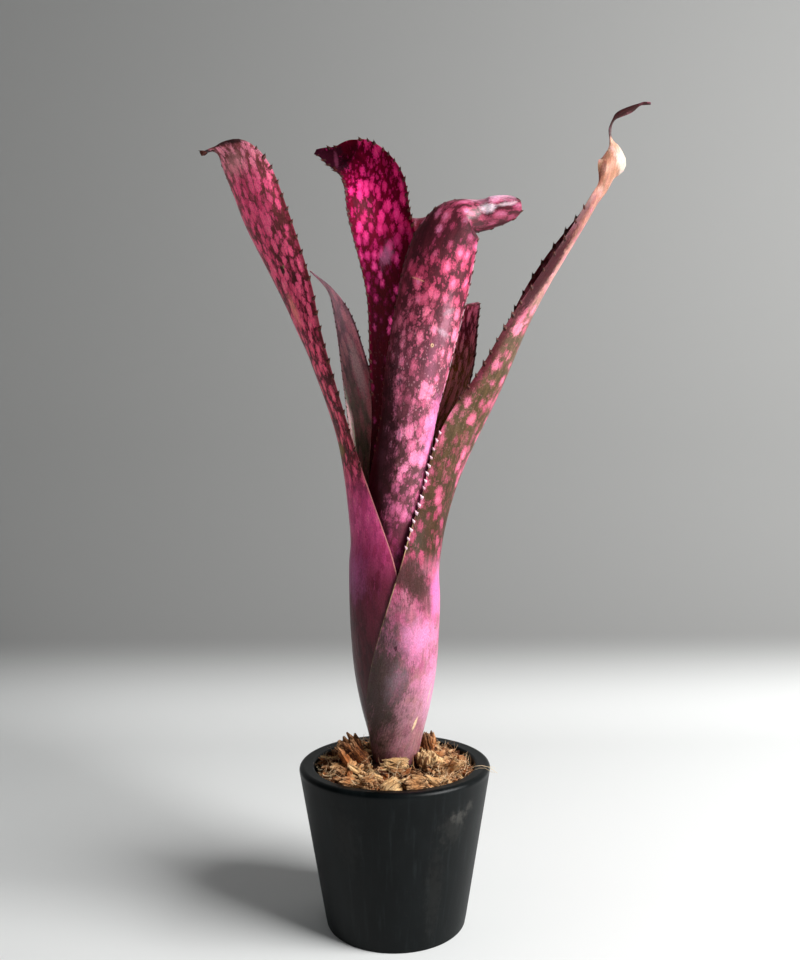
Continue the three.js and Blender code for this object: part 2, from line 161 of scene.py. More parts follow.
# Darkest and lightest colour of a dark strand, of a light strand and of its ends. The darkest also colours
# the filling under the chips as painted shade.
HUSK_DARK = ((0.03, 0.007, 0.002), (0.13, 0.035, 0.01))
HUSK_LIGHT = ((0.5, 0.14, 0.03), (0.98, 0.6, 0.27))
HUSK_ENDS = (0.98, 0.74, 0.44)
FIBRE_COLOURS = ((0.5, 0.22, 0.07), (0.95, 0.78, 0.5))
FIBRE_STAIN = (0.3, 0.12, 0.04)
STEM_COLOURS = ((0.09, 0.045, 0.02), (0.3, 0.18, 0.09))

# Urn of nested sheaths: height and outer radius of the outermost layer
TUBE = [
    (73, 11.8), (86, 12.6), (100, 15.4), (118, 20), (136, 23.3), (155, 25), (175, 25.8), (195, 25.8),
    (215, 25.2), (235, 24),
]
LEAF_THICKNESS = 0.8
LAYER_PITCH = 1.4
ROW_SPACING = 1.9
COLUMNS = 44
EDGE_THINNING = 0.6
EDGE_SHARPNESS = 6

# Spine: a flattened cone with its root sunk in the leaf's edge, bent towards the leaf's tip. Its rings
# give the way out, the way forwards and the half width, as shares of its length.
SPINE_RINGS = [(-0.7, -0.2, 0.95), (0.0, 0.0, 0.75), (0.42, 0.35, 0.3)]
SPINE_POINT = (0.8, 0.95)
SPINE_FLATNESS = 0.45
SPINE_SIDES = 4
SPINE_SPACINGS = (0.8, 1.2)
SPINE_LENGTHS = (0.75, 1.15)
SPINE_COLOURS = ((0.03, 0.008, 0.008), (0.12, 0.03, 0.02))
# Pale colours of the teeth: a painted highlight where they catch the light
TOOTH_HIGHLIGHT_COLOURS = ((0.75, 0.38, 0.5), (0.95, 0.7, 0.75))
# The last column of points at each edge and the one beside it
LEFT_EDGE = (0, 1)
RIGHT_EDGE = (-1, -2)

# Leaves from the outermost layer inwards. Azimuths are in degrees from the viewer's side, positive to
# the right. A wrap row gives a height on the urn and how far the sheath turns round it from the midrib
# to its left and right edges. A blade row gives the midrib's place, the azimuth and dip that the outer
# face looks to, and the width and turning of its left and right halves. Spines gives the heights
# between which the edges bear spines, the spacing at either end of them and the spines' length. Teeth
# gives the same for the teeth of the left edge, whose pale colour is a painted highlight.
LEAVES = [
    dict(
        name="leaf_right", slot="leaf_rose_beige", layer=0, facing=85, levels=8,
        wraps=[(73, 168, 120), (112, 138, 118), (152, 108, 100), (195, 76, 78)],
        blade=[
            ((31, 0, 223), (80, 0), (27, 25), (65, 60)), ((42.5, -2, 257), (70, 0), (25.5, 22.5), (60, 56)),
            ((63, 0, 298), (71, 0), (18, 24), (70, 80)), ((85.8, 2, 345), (98, 0), (20, 16), (65, 71)),
            ((111.3, 2, 388), (107, 0), (14, 6.5), (90, 90)),
            ((120.5, 1, 401), (73, 0), (8, 7.5), (79, 62)), ((125, 0, 411), (58, 0), (12, 11), (75, 60)),
            ((127.5, 0, 419), (25, 0), (10.5, 10.5), (60, 50)),
            ((126.5, 0, 425.5), (25, 5), (6.5, 6), (45, 45)),
            ((124, 0, 430), (30, 5), (1.3, 1.3), (20, 20)),
            ((123.3, 0, 436), (20, 0), (1.0, 1.0), (20, 20)),
            ((125.2, 0, 441.5), (10, 5), (0.8, 0.9), (20, 20)),
            ((128.5, 0, 445), (0, 10), (2.0, 2.4), (35, 35)),
            ((134.5, 0, 447.7), (0, 10), (2.0, 2.6), (35, 35)),
            ((139.5, 0, 449.9), (0, 10), (0.9, 1.0), (20, 20)),
            ((142.5, 0, 450.7), (0, 10), (1.2, 1.2), (30, 30)),
            ((146, 0, 450.6), (0, 10), (0.9, 0.9), (20, 20)),
        ],
        spines=(285, 398, 6, 10, 1.9), teeth=(203, 268, 3.2, 3.2, 1.5),
    ),
    dict(
        name="leaf_left", slot="leaf_raspberry", layer=1, facing=-90, levels=9,
        wraps=[(73, 110, 130), (150, 105, 112), (192, 92, 95), (211, 70, 83), (235, 38, 52)],
        blade=[
            ((-30, 0, 262), (-88, 0), (15, 20), (38, 48)), ((-44, -1, 305), (-84, 0), (17, 20.5), (42, 50)),
            ((-52, -2, 325), (-76, 0), (18, 22), (45, 50)),
            ((-59.5, -3, 344), (-68, 0), (20, 24), (50, 50)),
            ((-76, -6, 383), (-55, 0), (20, 25), (50, 50)), ((-84, -7, 404), (-52, 0), (17, 24), (50, 50)),
            ((-89.5, -7, 416), (-52, 0), (12, 18.5), (48, 48)),
            ((-93.3, -6, 421.6), (-58, -10), (6.5, 9.8), (42, 42)),
            ((-95.8, -6, 423.2), (-65, -35), (3.8, 3.4), (60, 60)),
            ((-98.5, -6, 423.2), (-70, -65), (2.4, 2.0), (85, 85)),
            ((-102.6, -6, 421.8), (-70, -70), (2.0, 1.6), (85, 85)),
        ],
        spines=(248, 423, 9, 6.5, 1.8),
    ),
    dict(
        name="leaf_back_right", slot="leaf_maroon_olive", layer=2, facing=150, levels=9,
        wraps=[(73, 95, 95), (175, 85, 85), (235, 62, 42)],
        blade=[
            ((21, 24, 265), (145, 0), (20, 20), (45, 45)), ((34, 30, 299), (147, 0), (20, 19), (42, 42)),
            ((39, 36, 332), (160, -10), (15.5, 16), (35, 35)),
            ((41.5, 43, 347), (172, -60), (12, 14.5), (12, 12)),
            ((42, 55, 345), (178, -110), (8, 8), (25, 25)), ((43, 62, 336), (178, -140), (2, 2), (20, 20)),
        ],
        spines=(255, 352, 6, 5, 1.5),
    ),
    dict(
        name="leaf_back_left", slot="leaf_grey_purple", layer=3, facing=-140, levels=9,
        wraps=[(73, 95, 95), (175, 85, 85), (235, 55, 50)],
        blade=[
            ((-16, 21, 270), (-145, 0), (15, 17), (45, 45)),
            ((-22.3, 27, 305), (-150, 0), (10, 11), (40, 40)),
            ((-31.3, 33, 338), (-145, -20), (8.5, 4.8), (40, 35)),
            ((-37.5, 37, 355.5), (-135, -30), (3.5, 2.5), (30, 30)),
            ((-49, 38, 367.5), (-120, -50), (0.9, 0.9), (20, 20)),
        ],
        spines=(255, 352, 5, 4, 1.0),
    ),
    dict(
        name="leaf_front", slot="leaf_mauve_pink", layer=4, facing=4, levels=9,
        wraps=[(73, 100, 100), (175, 88, 88), (235, 62, 62)],
        blade=[
            ((10, -24, 265), (6, 0), (20, 18), (58, 70)), ((15, -29, 300), (6, 0), (21, 21), (60, 60)),
            ((23, -36, 340), (4, 0), (22, 23), (60, 60)), ((27.5, -40, 359), (4, 5), (21, 21.5), (60, 60)),
            ((32, -42, 369.5), (8, 10), (18, 18), (60, 55)),
            ((38, -42, 377), (15, 15), (14, 14.5), (60, 55)),
            ((47.5, -37.5, 378), (15, 0), (13.5, 12.5), (85, 85)),
            ((52, -38, 378.3), (0, -10), (13.5, 12.5), (90, 90)),
            ((58, -38, 379.5), (0, -10), (13, 11.5), (90, 90)),
            ((64, -38, 380.5), (0, -10), (10, 8.5), (85, 85)),
            ((67.8, -38, 381), (0, -10), (3.5, 3.5), (60, 60)),
        ],
        spines=(250, 386, 6, 4.5, 1.6),
    ),
    dict(
        name="leaf_back", slot="leaf_plum", layer=5, facing=165, levels=9,
        wraps=[(73, 95, 95), (175, 85, 85), (235, 60, 60)],
        blade=[
            ((8, 22.5, 270), (165, 0), (15, 15), (35, 35)), ((12, 27, 320), (168, 0), (15, 15), (40, 40)),
            ((16, 35, 370), (170, 0), (14, 14), (35, 35)), ((17, 42, 397), (170, -35), (12, 12), (35, 35)),
            ((18, 54, 402), (170, -85), (8, 8), (35, 35)),
            ((19, 66, 395), (170, -120), (1.5, 1.5), (20, 20)),
        ],
        spines=(290, 405, 6, 5, 1.1),
    ),
    dict(
        name="leaf_tall_left", slot="leaf_magenta_wine", layer=6, facing=180, levels=9,
        wraps=[(73, 95, 95), (175, 85, 85), (235, 62, 62)],
        blade=[
            ((3, 17, 270), (180, 0), (18, 18), (60, 60)), ((4, 18, 305), (182, 0), (20, 20), (58, 55)),
            ((2, 22, 350), (186, 0), (20.5, 20.5), (55, 55)), ((-9, 27, 395), (195, 0), (22, 21), (50, 50)),
            ((-12, 30, 414), (190, -8), (22, 19), (48, 50)),
            ((-19, 34.5, 427), (175, -18), (19.5, 13.5), (45, 45)),
            ((-24.5, 38, 432.5), (150, -22), (16, 11), (45, 45)),
            ((-27, 43, 435.5), (170, -10), (14, 9.6), (40, 40)),
            ((-35, 46, 438.5), (178, -8), (8.8, 6.5), (35, 35)),
            ((-41.5, 48, 442.3), (178, -8), (4.4, 3.2), (30, 30)),
            ((-46, 50, 444.3), (178, -8), (1.9, 1.9), (20, 20)),
        ],
        spines=(290, 446, 5, 3.6, 1.8),
    ),
]

# Looks of the leaves, on stops by height. Ground is the colour between the spots, and cover says how
# much of the leaf the spots take: 1 is all of it, 0 nearly none. Size is a spot's width and length.
# Upright spots lie along the height and not along the leaf. Wander bends the spots, ragged frays their
# edges, soft blurs those, patches crowds them in places, small adds lesser spots between them, heart is
# the colour in their middles and rings darkens those. Margins are bands along the left (-1) and right
# (1) edge: height of their lower and upper end, width, colour and strength. Blotches are soft ellipses
# seen from the front: place, half width and half height, tilt in degrees, softness, colour, strength.
# Flecks, streaks and scurf say how strongly those show, inside gives the colours of the inner face,
# and hollows is the depth of its broad dents. Gloss, roughness and glow go to the shader.
USUAL_LOOK = dict(
    wander=0.55, ragged=0.12, patches=0.7, small=0.6, rings=0.0, flecks=0.3, inside=[], margins=[],
    blotches=[], upright=False, gloss=0.4, hollows=0.6, roughness=[(200, 0.42)], glow=0.35,
)
LOOKS = {
    "leaf_right": dict(
        ground=[
            (75, (0.15, 0.07, 0.06)), (110, (0.28, 0.15, 0.155)), (160, (0.27, 0.1, 0.13)),
            (186, (0.4, 0.13, 0.2)), (204, (0.04, 0.02, 0.008)), (285, (0.06, 0.04, 0.014)),
            (325, (0.1, 0.07, 0.04)), (350, (0.4, 0.22, 0.18)), (390, (0.34, 0.18, 0.13)),
            (412, (0.3, 0.15, 0.09)), (430, (0.36, 0.2, 0.12)), (433, (0.03, 0.008, 0.008)),
        ],
        spots=[
            (75, (0.22, 0.085, 0.085)), (110, (0.4, 0.19, 0.23)), (150, (0.58, 0.18, 0.32)),
            (200, (0.44, 0.07, 0.14)), (295, (0.56, 0.13, 0.2)), (325, (0.85, 0.25, 0.34)),
            (345, (0.98, 0.36, 0.46)), (390, (0.45, 0.2, 0.2)), (412, (0.6, 0.36, 0.25)),
            (430, (0.66, 0.46, 0.32)), (433, (0.09, 0.03, 0.03)),
        ],
        heart=(0.8, 0.25, 0.42),
        cover=[(110, 0.85), (150, 0.75), (186, 0.6), (204, 0.4), (290, 0.46), (340, 0.68), (390, 0.35)],
        size=(5.2, 7.5), wander=0.6, ragged=0.22, soft=0.17, small=0.35, rings=0.8, flecks=0.12,
        streaks=0.4, scurf=0.06,
        inside=[(385, (0.08, 0.008, 0.014)), (405, (0.25, 0.12, 0.08))],
        margins=[
            (-1, 285, 396, 6, (0.09, 0.01, 0.018), 0.9), (-1, 90, 215, 0.7, (0.5, 0.33, 0.16), 0.8),
            (1, 205, 330, 5, (0.85, 0.22, 0.38), 0.5),
        ],
        blotches=[
            # Grey-olive left side of the sheath, darkened further as painted shade
            (-9, 130, 23, 66, -9, 0.75, (0.045, 0.035, 0.026), 0.92),
            (1, 134, 7, 16, -20, 0.9, (0.3, 0.2, 0.24), 0.45),
            (14, 158, 13, 12, 15, 0.8, (0.72, 0.26, 0.48), 0.7),
            (20, 125, 8, 26, -6, 0.9, (0.7, 0.3, 0.5), 0.6),
            (9, 189, 12, 14, 20, 0.6, (0.055, 0.02, 0.016), 0.9),
            (14, 184, 11, 17, 30, 0.85, (0.05, 0.018, 0.014), 0.92),
            (19, 174, 5, 11, 20, 0.85, (0.12, 0.04, 0.045), 0.7),
            (24, 180, 5, 20, -4, 0.7, (0.85, 0.2, 0.48), 0.7),
            (2, 84, 22, 12, 0, 0.8, (0.16, 0.06, 0.04), 0.3),
            (1.3, 152.5, 1.1, 1.7, 0, 0.4, (0.05, 0.01, 0.02), 0.95),
            (22.5, 161, 0.5, 0.8, 0, 0.5, (0.1, 0.03, 0.05), 0.8),
            (11, 110, 0.8, 5, -22, 0.5, (0.8, 0.6, 0.35), 0.85),
            (19, 125, 0.45, 7, -14, 0.6, (0.75, 0.5, 0.3), 0.6),
            (131, 419, 6, 11, 12, 0.6, (0.62, 0.52, 0.44), 0.9),
            (111, 399, 1.6, 16, -26, 0.6, (0.14, 0.05, 0.03), 0.85),
            (119, 413, 1.2, 9, -12, 0.6, (0.2, 0.08, 0.05), 0.8),
            (103, 378, 2.5, 14, -30, 0.8, (0.18, 0.08, 0.05), 0.6),
            (117.5, 412, 1.6, 11, -18, 0.6, (0.2, 0.07, 0.05), 0.8),
            (84.3, 352.4, 4, 38, -34, 0.5, (0.04, 0.004, 0.007), 0.96),
        ],
        gloss=0.2,
    ),
    "leaf_left": dict(
        # Below about 225 the sheath grows much darker towards its base: its own browner colour, darkened
        # further as painted shade
        ground=[
            (75, (0.025, 0.01, 0.01)), (160, (0.04, 0.004, 0.008)), (225, (0.36, 0.04, 0.14)),
            (250, (0.08, 0.012, 0.015)), (330, (0.06, 0.005, 0.01)), (424, (0.16, 0.045, 0.045)),
            (426, (0.03, 0.012, 0.012)),
        ],
        spots=[
            (75, (0.07, 0.022, 0.024)), (140, (0.08, 0.009, 0.015)), (180, (0.14, 0.014, 0.036)),
            (225, (0.66, 0.08, 0.25)), (260, (0.85, 0.1, 0.18)), (400, (1.0, 0.12, 0.28)),
            (424, (0.9, 0.3, 0.4)), (427, (0.06, 0.02, 0.02)),
        ],
        heart=(1.0, 0.3, 0.36),
        cover=[(150, 0.9), (215, 0.95), (240, 0.75), (262, 0.48), (340, 0.72), (420, 0.62)],
        size=(2.7, 6.4), wander=0.6, patches=0.6, soft=0.09, small=0.5, streaks=0.3, scurf=0.03,
        inside=[(200, (0.2, 0.01, 0.03))],
        margins=[(1, 245, 400, 3.5, (0.1, 0.012, 0.015), 0.75), (1, 190, 245, 0.8, (0.7, 0.3, 0.25), 0.8)],
        blotches=[
            (-58.6, 355.9, 1.2, 3, 18, 0.4, (0.02, 0.015, 0.005), 0.95),
            (-58.0, 357.5, 0.6, 1.2, 18, 0.4, (0.35, 0.3, 0.12), 0.9),
            (-53, 335, 2.2, 13, 22, 0.8, (0.9, 0.3, 0.24), 0.75),
            # Painted highlight where the leaf curves over near its top
            (-85, 415, 8, 10, 30, 0.9, (0.85, 0.4, 0.4), 0.45),
            (-28, 258, 3, 6, 18, 0.8, (0.3, 0.2, 0.03), 0.6),
            (-22, 190, 10, 20, 0, 0.9, (0.5, 0.12, 0.33), 0.5),
            (-30, 210, 5, 30, 0, 0.8, (0.65, 0.1, 0.25), 0.4),
            (-101.5, 419, 8, 6, 0, 0.2, (0.012, 0.005, 0.005), 0.98),
        ],
        roughness=[(200, 0.4)], glow=0.15,
    ),
    "leaf_back_right": dict(
        ground=[(230, (0.17, 0.13, 0.015)), (296, (0.24, 0.12, 0.018)), (330, (0.12, 0.01, 0.02))],
        spots=[(230, (1.0, 0.42, 0.36)), (300, (1.0, 0.42, 0.42)), (340, (1.0, 0.2, 0.36))],
        heart=(0.9, 0.35, 0.35),
        cover=[(230, 0.6), (300, 0.62), (345, 0.5)],
        size=(2.3, 8), wander=0.5, soft=0.14, streaks=0.25, scurf=0.08,
        margins=[(-1, 255, 352, 2, (0.05, 0.01, 0.015), 0.8)],
        blotches=[(30, 325, 3, 12, 10, 0.7, (0.6, 0.02, 0.2), 0.6)], gloss=0.3, glow=0.15,
    ),
    "leaf_back_left": dict(
        ground=[
            (230, (0.26, 0.32, 0.16)), (285, (0.36, 0.36, 0.28)), (320, (0.3, 0.19, 0.22)),
            (345, (0.4, 0.25, 0.29)),
        ],
        spots=[(230, (1.0, 0.75, 0.66)), (300, (1.0, 0.56, 0.6)), (340, (1.0, 0.5, 0.6))],
        heart=(0.85, 0.5, 0.5),
        cover=[(230, 0.5), (300, 0.55), (345, 0.4)],
        size=(3.6, 14), wander=0.5, patches=0.6, soft=0.12, small=0.4, flecks=0.1, streaks=0.3, scurf=0.12,
        margins=[(-1, 240, 345, 1.5, (0.05, 0.03, 0.03), 0.7)],
        blotches=[
            # Painted light: a near-white patch standing in for direct light on the leaf's right edge
            (-20, 307, 4, 26, 14, 0.7, (1.0, 0.85, 0.82), 0.85),
            (-26, 336, 3, 15, 22, 0.8, (1.0, 0.55, 0.6), 0.6),
            (-17, 262, 7, 20, 0, 0.9, (0.12, 0.16, 0.07), 0.5),
        ],
        roughness=[(200, 0.5)], glow=0.15,
    ),
    "leaf_front": dict(
        ground=[
            (200, (0.1, 0.012, 0.03)), (245, (0.09, 0.03, 0.035)), (300, (0.11, 0.03, 0.045)),
            (340, (0.075, 0.012, 0.02)), (370, (0.06, 0.008, 0.014)),
        ],
        spots=[
            (200, (0.4, 0.04, 0.16)), (250, (0.88, 0.24, 0.42)), (320, (0.88, 0.2, 0.32)),
            (350, (0.8, 0.1, 0.22)), (366, (0.4, 0.05, 0.13)), (374, (0.5, 0.08, 0.16)),
        ],
        heart=(0.95, 0.35, 0.6),
        cover=[(200, 0.4), (270, 0.52), (300, 0.36), (332, 0.5), (356, 0.42), (380, 0.42)],
        size=(4.6, 7.6), ragged=0.28, patches=1.0, soft=0.18, rings=0.15, flecks=0.65, streaks=0.35,
        scurf=0.03,
        inside=[(200, (0.25, 0.02, 0.06)), (385, (0.3, 0.04, 0.09))],
        # The left margin's dark band is the leaf's darker edge and painted shade from the leaves beside it
        margins=[(-1, 240, 372, 7, (0.09, 0.008, 0.016), 0.75), (1, 250, 360, 1.6, (0.4, 0.3, 0.33), 0.6)],
        blotches=[
            (21.7, 311.1, 1.1, 1.3, 0, 0.5, (0.7, 0.5, 0.25), 0.85),
            (21.8, 311.0, 0.4, 0.5, 0, 0.4, (0.1, 0.05, 0.02), 0.95),
            (14.5, 344.5, 0.5, 5, 64, 0.5, (0.85, 0.4, 0.25), 0.8),
            (23, 266, 7, 27, -12, 0.9, (0.95, 0.25, 0.55), 0.8),
            # Painted sheen on the right part of the leaf that faces the light
            (29, 324, 4.5, 20, -10, 0.9, (0.95, 0.4, 0.55), 0.32),
            (8, 285, 7, 24, -6, 0.9, (0.13, 0.03, 0.04), 0.5),
            # Dark left half of the leaf: darker pigment and painted shade from the leaves beside it
            (-9, 250, 15, 85, -5, 0.55, (0.025, 0.0015, 0.003), 0.96),
            (21, 300, 4, 30, -10, 0.9, (0.9, 0.3, 0.5), 0.15),
            (30, 328, 5, 2.2, 30, 0.9, (0.5, 0.38, 0.44), 0.35),
            (27, 318, 5, 2, -30, 0.9, (0.62, 0.52, 0.58), 0.4),
            # Painted light on the rolled tip: a bright pink lit top and white painted highlights along it
            (55, 389, 20, 7, 4, 0.9, (1.0, 0.5, 0.68), 0.95),
            (50.5, 380.5, 6, 3.4, 8, 0.8, (1.0, 0.8, 0.9), 0.85),
            (60, 382, 8, 1.6, 8, 0.8, (1.0, 0.8, 0.88), 0.6),
            # Painted shade under the rolled tip and at its fold
            (52, 369, 9, 4, 10, 0.8, (0.07, 0.004, 0.012), 0.85),
            (40, 370, 5, 9, 35, 0.8, (0.06, 0.015, 0.02), 0.6),
        ],
        hollows=0.15, roughness=[(200, 0.38)],
    ),
    "leaf_back": dict(
        ground=[(250, (0.1, 0.02, 0.04)), (400, (0.14, 0.05, 0.07))],
        spots=[(250, (0.5, 0.08, 0.2)), (400, (0.55, 0.16, 0.26))],
        heart=(0.7, 0.3, 0.4),
        cover=[(250, 0.4), (400, 0.4)],
        size=(3, 7), wander=1.2, ragged=0.5, soft=0.1, streaks=0.4, scurf=0.2,
        inside=[(200, (0.15, 0.015, 0.03))], glow=0.5,
    ),
    "leaf_tall_left": dict(
        # Near-black below about 360 is a painted shadow cast by leaf_front
        ground=[(230, (0.012, 0.0003, 0.001)), (350, (0.02, 0.0005, 0.002)), (400, (0.075, 0.0008, 0.01))],
        spots=[
            (230, (0.02, 0.0004, 0.003)), (330, (0.03, 0.0006, 0.006)), (358, (0.13, 0.003, 0.035)),
            (378, (0.32, 0.01, 0.085)), (396, (0.66, 0.02, 0.17)),
        ],
        heart=(0.85, 0.08, 0.3),
        cover=[(250, 0.3), (330, 0.36), (365, 0.42), (385, 0.5), (425, 0.46), (436, 0.36)],
        size=(4.2, 8.5), upright=True, patches=0.35, soft=0.09, small=0.55, flecks=0.05, streaks=0.15,
        scurf=0.0,
        margins=[
            (1, 290, 446, 3.5, (0.08, 0.001, 0.012), 0.8), (-1, 290, 430, 3, (0.08, 0.001, 0.012), 0.75),
        ],
        blotches=[
            # Painted shade on the tip that turns down, away from the light
            (-41, 432, 16, 17, 0, 0.18, (0.04, 0.005, 0.013), 0.97),
            (-33, 437, 1.8, 8, 8, 0.7, (0.3, 0.06, 0.13), 0.75),
            # Painted highlight: a violet-grey sheen on the leaf's face
            (-2.5, 373, 5, 12, -14, 0.9, (0.3, 0.09, 0.18), 0.65),
            (5, 371.5, 0.9, 1.0, 0, 0.5, (0.02, 0.0, 0.005), 0.9),
        ],
        gloss=0.06,
        roughness=[(375, 0.95), (410, 0.35)],
    ),
}
PALE_SCURF = (0.62, 0.52, 0.58)
PALE_FLECK = (0.95, 0.5, 0.58)
GROUND_LIFT = (1.8, 1.5, 1.6)
SPOT_DIMMING = (0.72, 0.55, 0.62)
STREAK_TINTS = ((0.4, 0.32, 0.34), (1.5, 1.6, 1.5))
GRAIN_TINTS = ((0.7, 0.62, 0.66), (1.25, 1.3, 1.28))
# Heights between which spots get hearts, and between which fine flecks show
HEARTS_FROM = (200, 245)
FLECKS_BETWEEN = (250, 318)
# Steps through the patterns from one face to the other and from leaf to leaf
FACE_STEP = 40.0
LEAF_STEP = 17.0
# Blotches with a greater half width than this get an uneven outline
WIDE_BLOTCH = 4


def between(rows, height):
    """Values of the rows at a height, each row starting with its own height."""
    heights = [row[0] for row in rows]
    return [float(np.interp(height, heights, values)) for values in list(zip(*rows))[1:]]


def direction(azimuth, dip):
    """Direction in space for an azimuth from the viewer's side and a dip above level."""
    a, d = math.radians(azimuth), math.radians(dip)
    return [math.cos(d) * math.sin(a), -math.cos(d) * math.cos(a), math.sin(d)]


def unit(vector):
    return vector / np.linalg.norm(vector)


# A station is place, outward direction, left width and turn, right width and turn, and lean, which is
# 0 where the section is level, as on the urn, and 1 where it is square to the midrib.
def leaf_stations(leaf):
    stations = []
    for height, outer_radius in TUBE[:leaf["levels"]]:
        radius = outer_radius - leaf["layer"] * LAYER_PITCH
        left, right = [math.radians(turn) for turn in between(leaf["wraps"], height)]
        out = direction(leaf["facing"], 0)
        stations.append([radius * out[0], radius * out[1], height, *out,
                         radius * left, left, radius * right, right, 0])
    for place, out, half, curl in leaf["blade"]:
        left, right = [math.radians(turn) for turn in curl]
        stations.append([*place, *direction(*out), half[0], left, half[1], right, 1])
    return np.array(stations, float)


def catmull_rom(stations, spacing):
    """Smooth line through all stations, in steps of about the spacing."""
    padded = np.vstack([2 * stations[0] - stations[1], stations, stations[-1]])
    rows = [stations[0]]
    for a, b, c, d in zip(padded, padded[1:], padded[2:], padded[3:]):
        steps = max(3, round(np.linalg.norm(c[:3] - b[:3]) / spacing))
        for t in np.arange(1, steps + 1) / steps:
            rows.append(0.5 * (2 * b + (c - a) * t + (2 * a - 5 * b + 4 * c - d) * t ** 2
                               + (3 * b - a - 3 * c + d) * t ** 3))
    return np.array(rows)


def leaf_rows(leaf, columns):
    """Outer and inner faces as arrays of rows and columns of points, with each point's place on the leaf.

    A place is the way across and along the leaf and the distance from its edge.
    """
    stations = catmull_rom(leaf_stations(leaf), ROW_SPACING)
    middles = stations[:, :3]
    along = np.concatenate([[0], np.cumsum(np.linalg.norm(np.diff(middles, axis=0), axis=1))])
    shares = np.linspace(-1, 1, columns + 1)
    thickness = LEAF_THICKNESS * (1 - EDGE_THINNING * np.abs(shares) ** EDGE_SHARPNESS)
    outer, inner, place = [], [], []
    for i, station in enumerate(stations):
        ahead = unit(middles[min(i + 1, len(middles) - 1)] - middles[max(i - 1, 0)])
        lean = min(max(station[10], 0), 1)
        square = unit((1 - lean) * np.array([0, 0, 1]) + lean * ahead)
        out = unit(station[3:6] - station[3:6].dot(square) * square)
        side = np.cross(square, out)
        turns = np.where(shares < 0, station[7], station[9])
        widths = np.where(shares < 0, station[6], station[8])
        radii = widths / turns
        angles = shares * turns
        normals = np.cos(angles)[:, None] * out + np.sin(angles)[:, None] * side
        points = middles[i] - radii[:, None] * out + radii[:, None] * normals
        slack = (LEAF_THICKNESS - thickness)[:, None] / 2
        outer.append(points - slack * normals)
        inner.append(points - (slack + thickness[:, None]) * normals)
        from_edge = (1 - np.abs(shares)) * widths
        place.append(np.stack([shares * widths, np.full(columns + 1, along[i]), from_edge], axis=1))
    return np.array(outer), np.array(inner), np.array(place), shares


def new_mesh(name, points, faces, materials, smooth_angle=40):
    """A mesh object from points in millimetres."""
    mesh = bpy.data.meshes.new(name)
    mesh.from_pydata((np.asarray(points) * MM).tolist(), [], faces)
    mesh.update()
    mesh.shade_smooth()
    mesh.set_sharp_from_angle(angle=math.radians(smooth_angle))
    for material in materials:
        mesh.materials.append(material)
    piece = bpy.data.objects.new(name, mesh)
    bpy.context.scene.collection.objects.link(piece)
    return piece


def set_attribute(piece, name, values):
    """A vector kept on each point of a piece, for its material."""
    attribute = piece.data.attributes.new(name, "FLOAT_VECTOR", "POINT")
    attribute.data.foreach_set("vector", np.asarray(values, np.float32).ravel())


def grid_faces(rows, width, start):
    """Quads of a grid of points, numbered row by row from start."""
    base = start + np.arange(rows - 1)[:, None] * width + np.arange(width - 1)
    return np.stack([base, base + 1, base + width + 1, base + width], axis=-1).reshape(-1, 4)


def blade_faces(rows, width):
    """Faces of a leaf: both sides, both edges, its base and its tip."""
    half = rows * width
    outside = grid_faces(rows, width, 0)
    inside = grid_faces(rows, width, half)[:, ::-1]
    left = np.arange(rows - 1) * width
    right = left + width - 1
    edge_left = np.stack([left, left + width, half + left + width, half + left], axis=-1)
    edge_right = np.stack([right, half + right, half + right + width, right + width], axis=-1)
    base = np.arange(width - 1)
    tip = base + (rows - 1) * width
    cap_base = np.stack([base, half + base, half + base + 1, base + 1], axis=-1)
    cap_tip = np.stack([tip, tip + 1, half + tip + 1, half + tip], axis=-1)
    return np.concatenate([outside, inside, edge_left, edge_right, cap_base, cap_tip]).tolist()


def spine_points(root, outwards, forwards, length):
    across = np.cross(forwards, outwards)
    points = []
    for out, forward, half in SPINE_RINGS:
        centre = root + length * (out * outwards + forward * forwards)
        for turn in range(SPINE_SIDES):
            angle = turn * math.tau / SPINE_SIDES
            points.append(centre + length * half * (math.cos(angle) * forwards
                                                    + SPINE_FLATNESS * math.sin(angle) * across))
    points.append(root + length * (SPINE_POINT[0] * outwards + SPINE_POINT[1] * forwards))
    return points


def spine_faces(start):
    sides = SPINE_SIDES
    faces = [[start + k for k in reversed(range(sides))]]
    top = start + sides * (len(SPINE_RINGS) - 1)
    for low in range(start, top, sides):
        for k in range(sides):
            after = (k + 1) % sides
            faces.append((low + k, low + after, low + sides + after, low + sides + k))
    faces += [(top + k, top + (k + 1) % sides, top + sides) for k in range(sides)]
    return faces


def leaf_spines(row, edges, outer, inner, draws):
    """Points and faces of the spines along some edges."""
    low, high, pitch_low, pitch_high, length = row
    points, faces = [], []
    for edge, beside in edges:
        line = (outer[:, edge] + inner[:, edge]) / 2
        outwards = line - (outer[:, beside] + inner[:, beside]) / 2
        wait = pitch_low * draws.random()
        for i in range(1, len(line)):
            step = line[i] - line[i - 1]
            wait -= np.linalg.norm(step)
            if wait > 0 or not low <= line[i][2] <= high:
                continue
            share = (line[i][2] - low) / (high - low)
            wait = (pitch_low + share * (pitch_high - pitch_low)) * draws.uniform(*SPINE_SPACINGS)
            forwards = unit(step)
            away = unit(outwards[i] - outwards[i].dot(forwards) * forwards)
            faces += spine_faces(len(points))
            points += spine_points(line[i], away, forwards, length * draws.uniform(*SPINE_LENGTHS))
    return points, faces


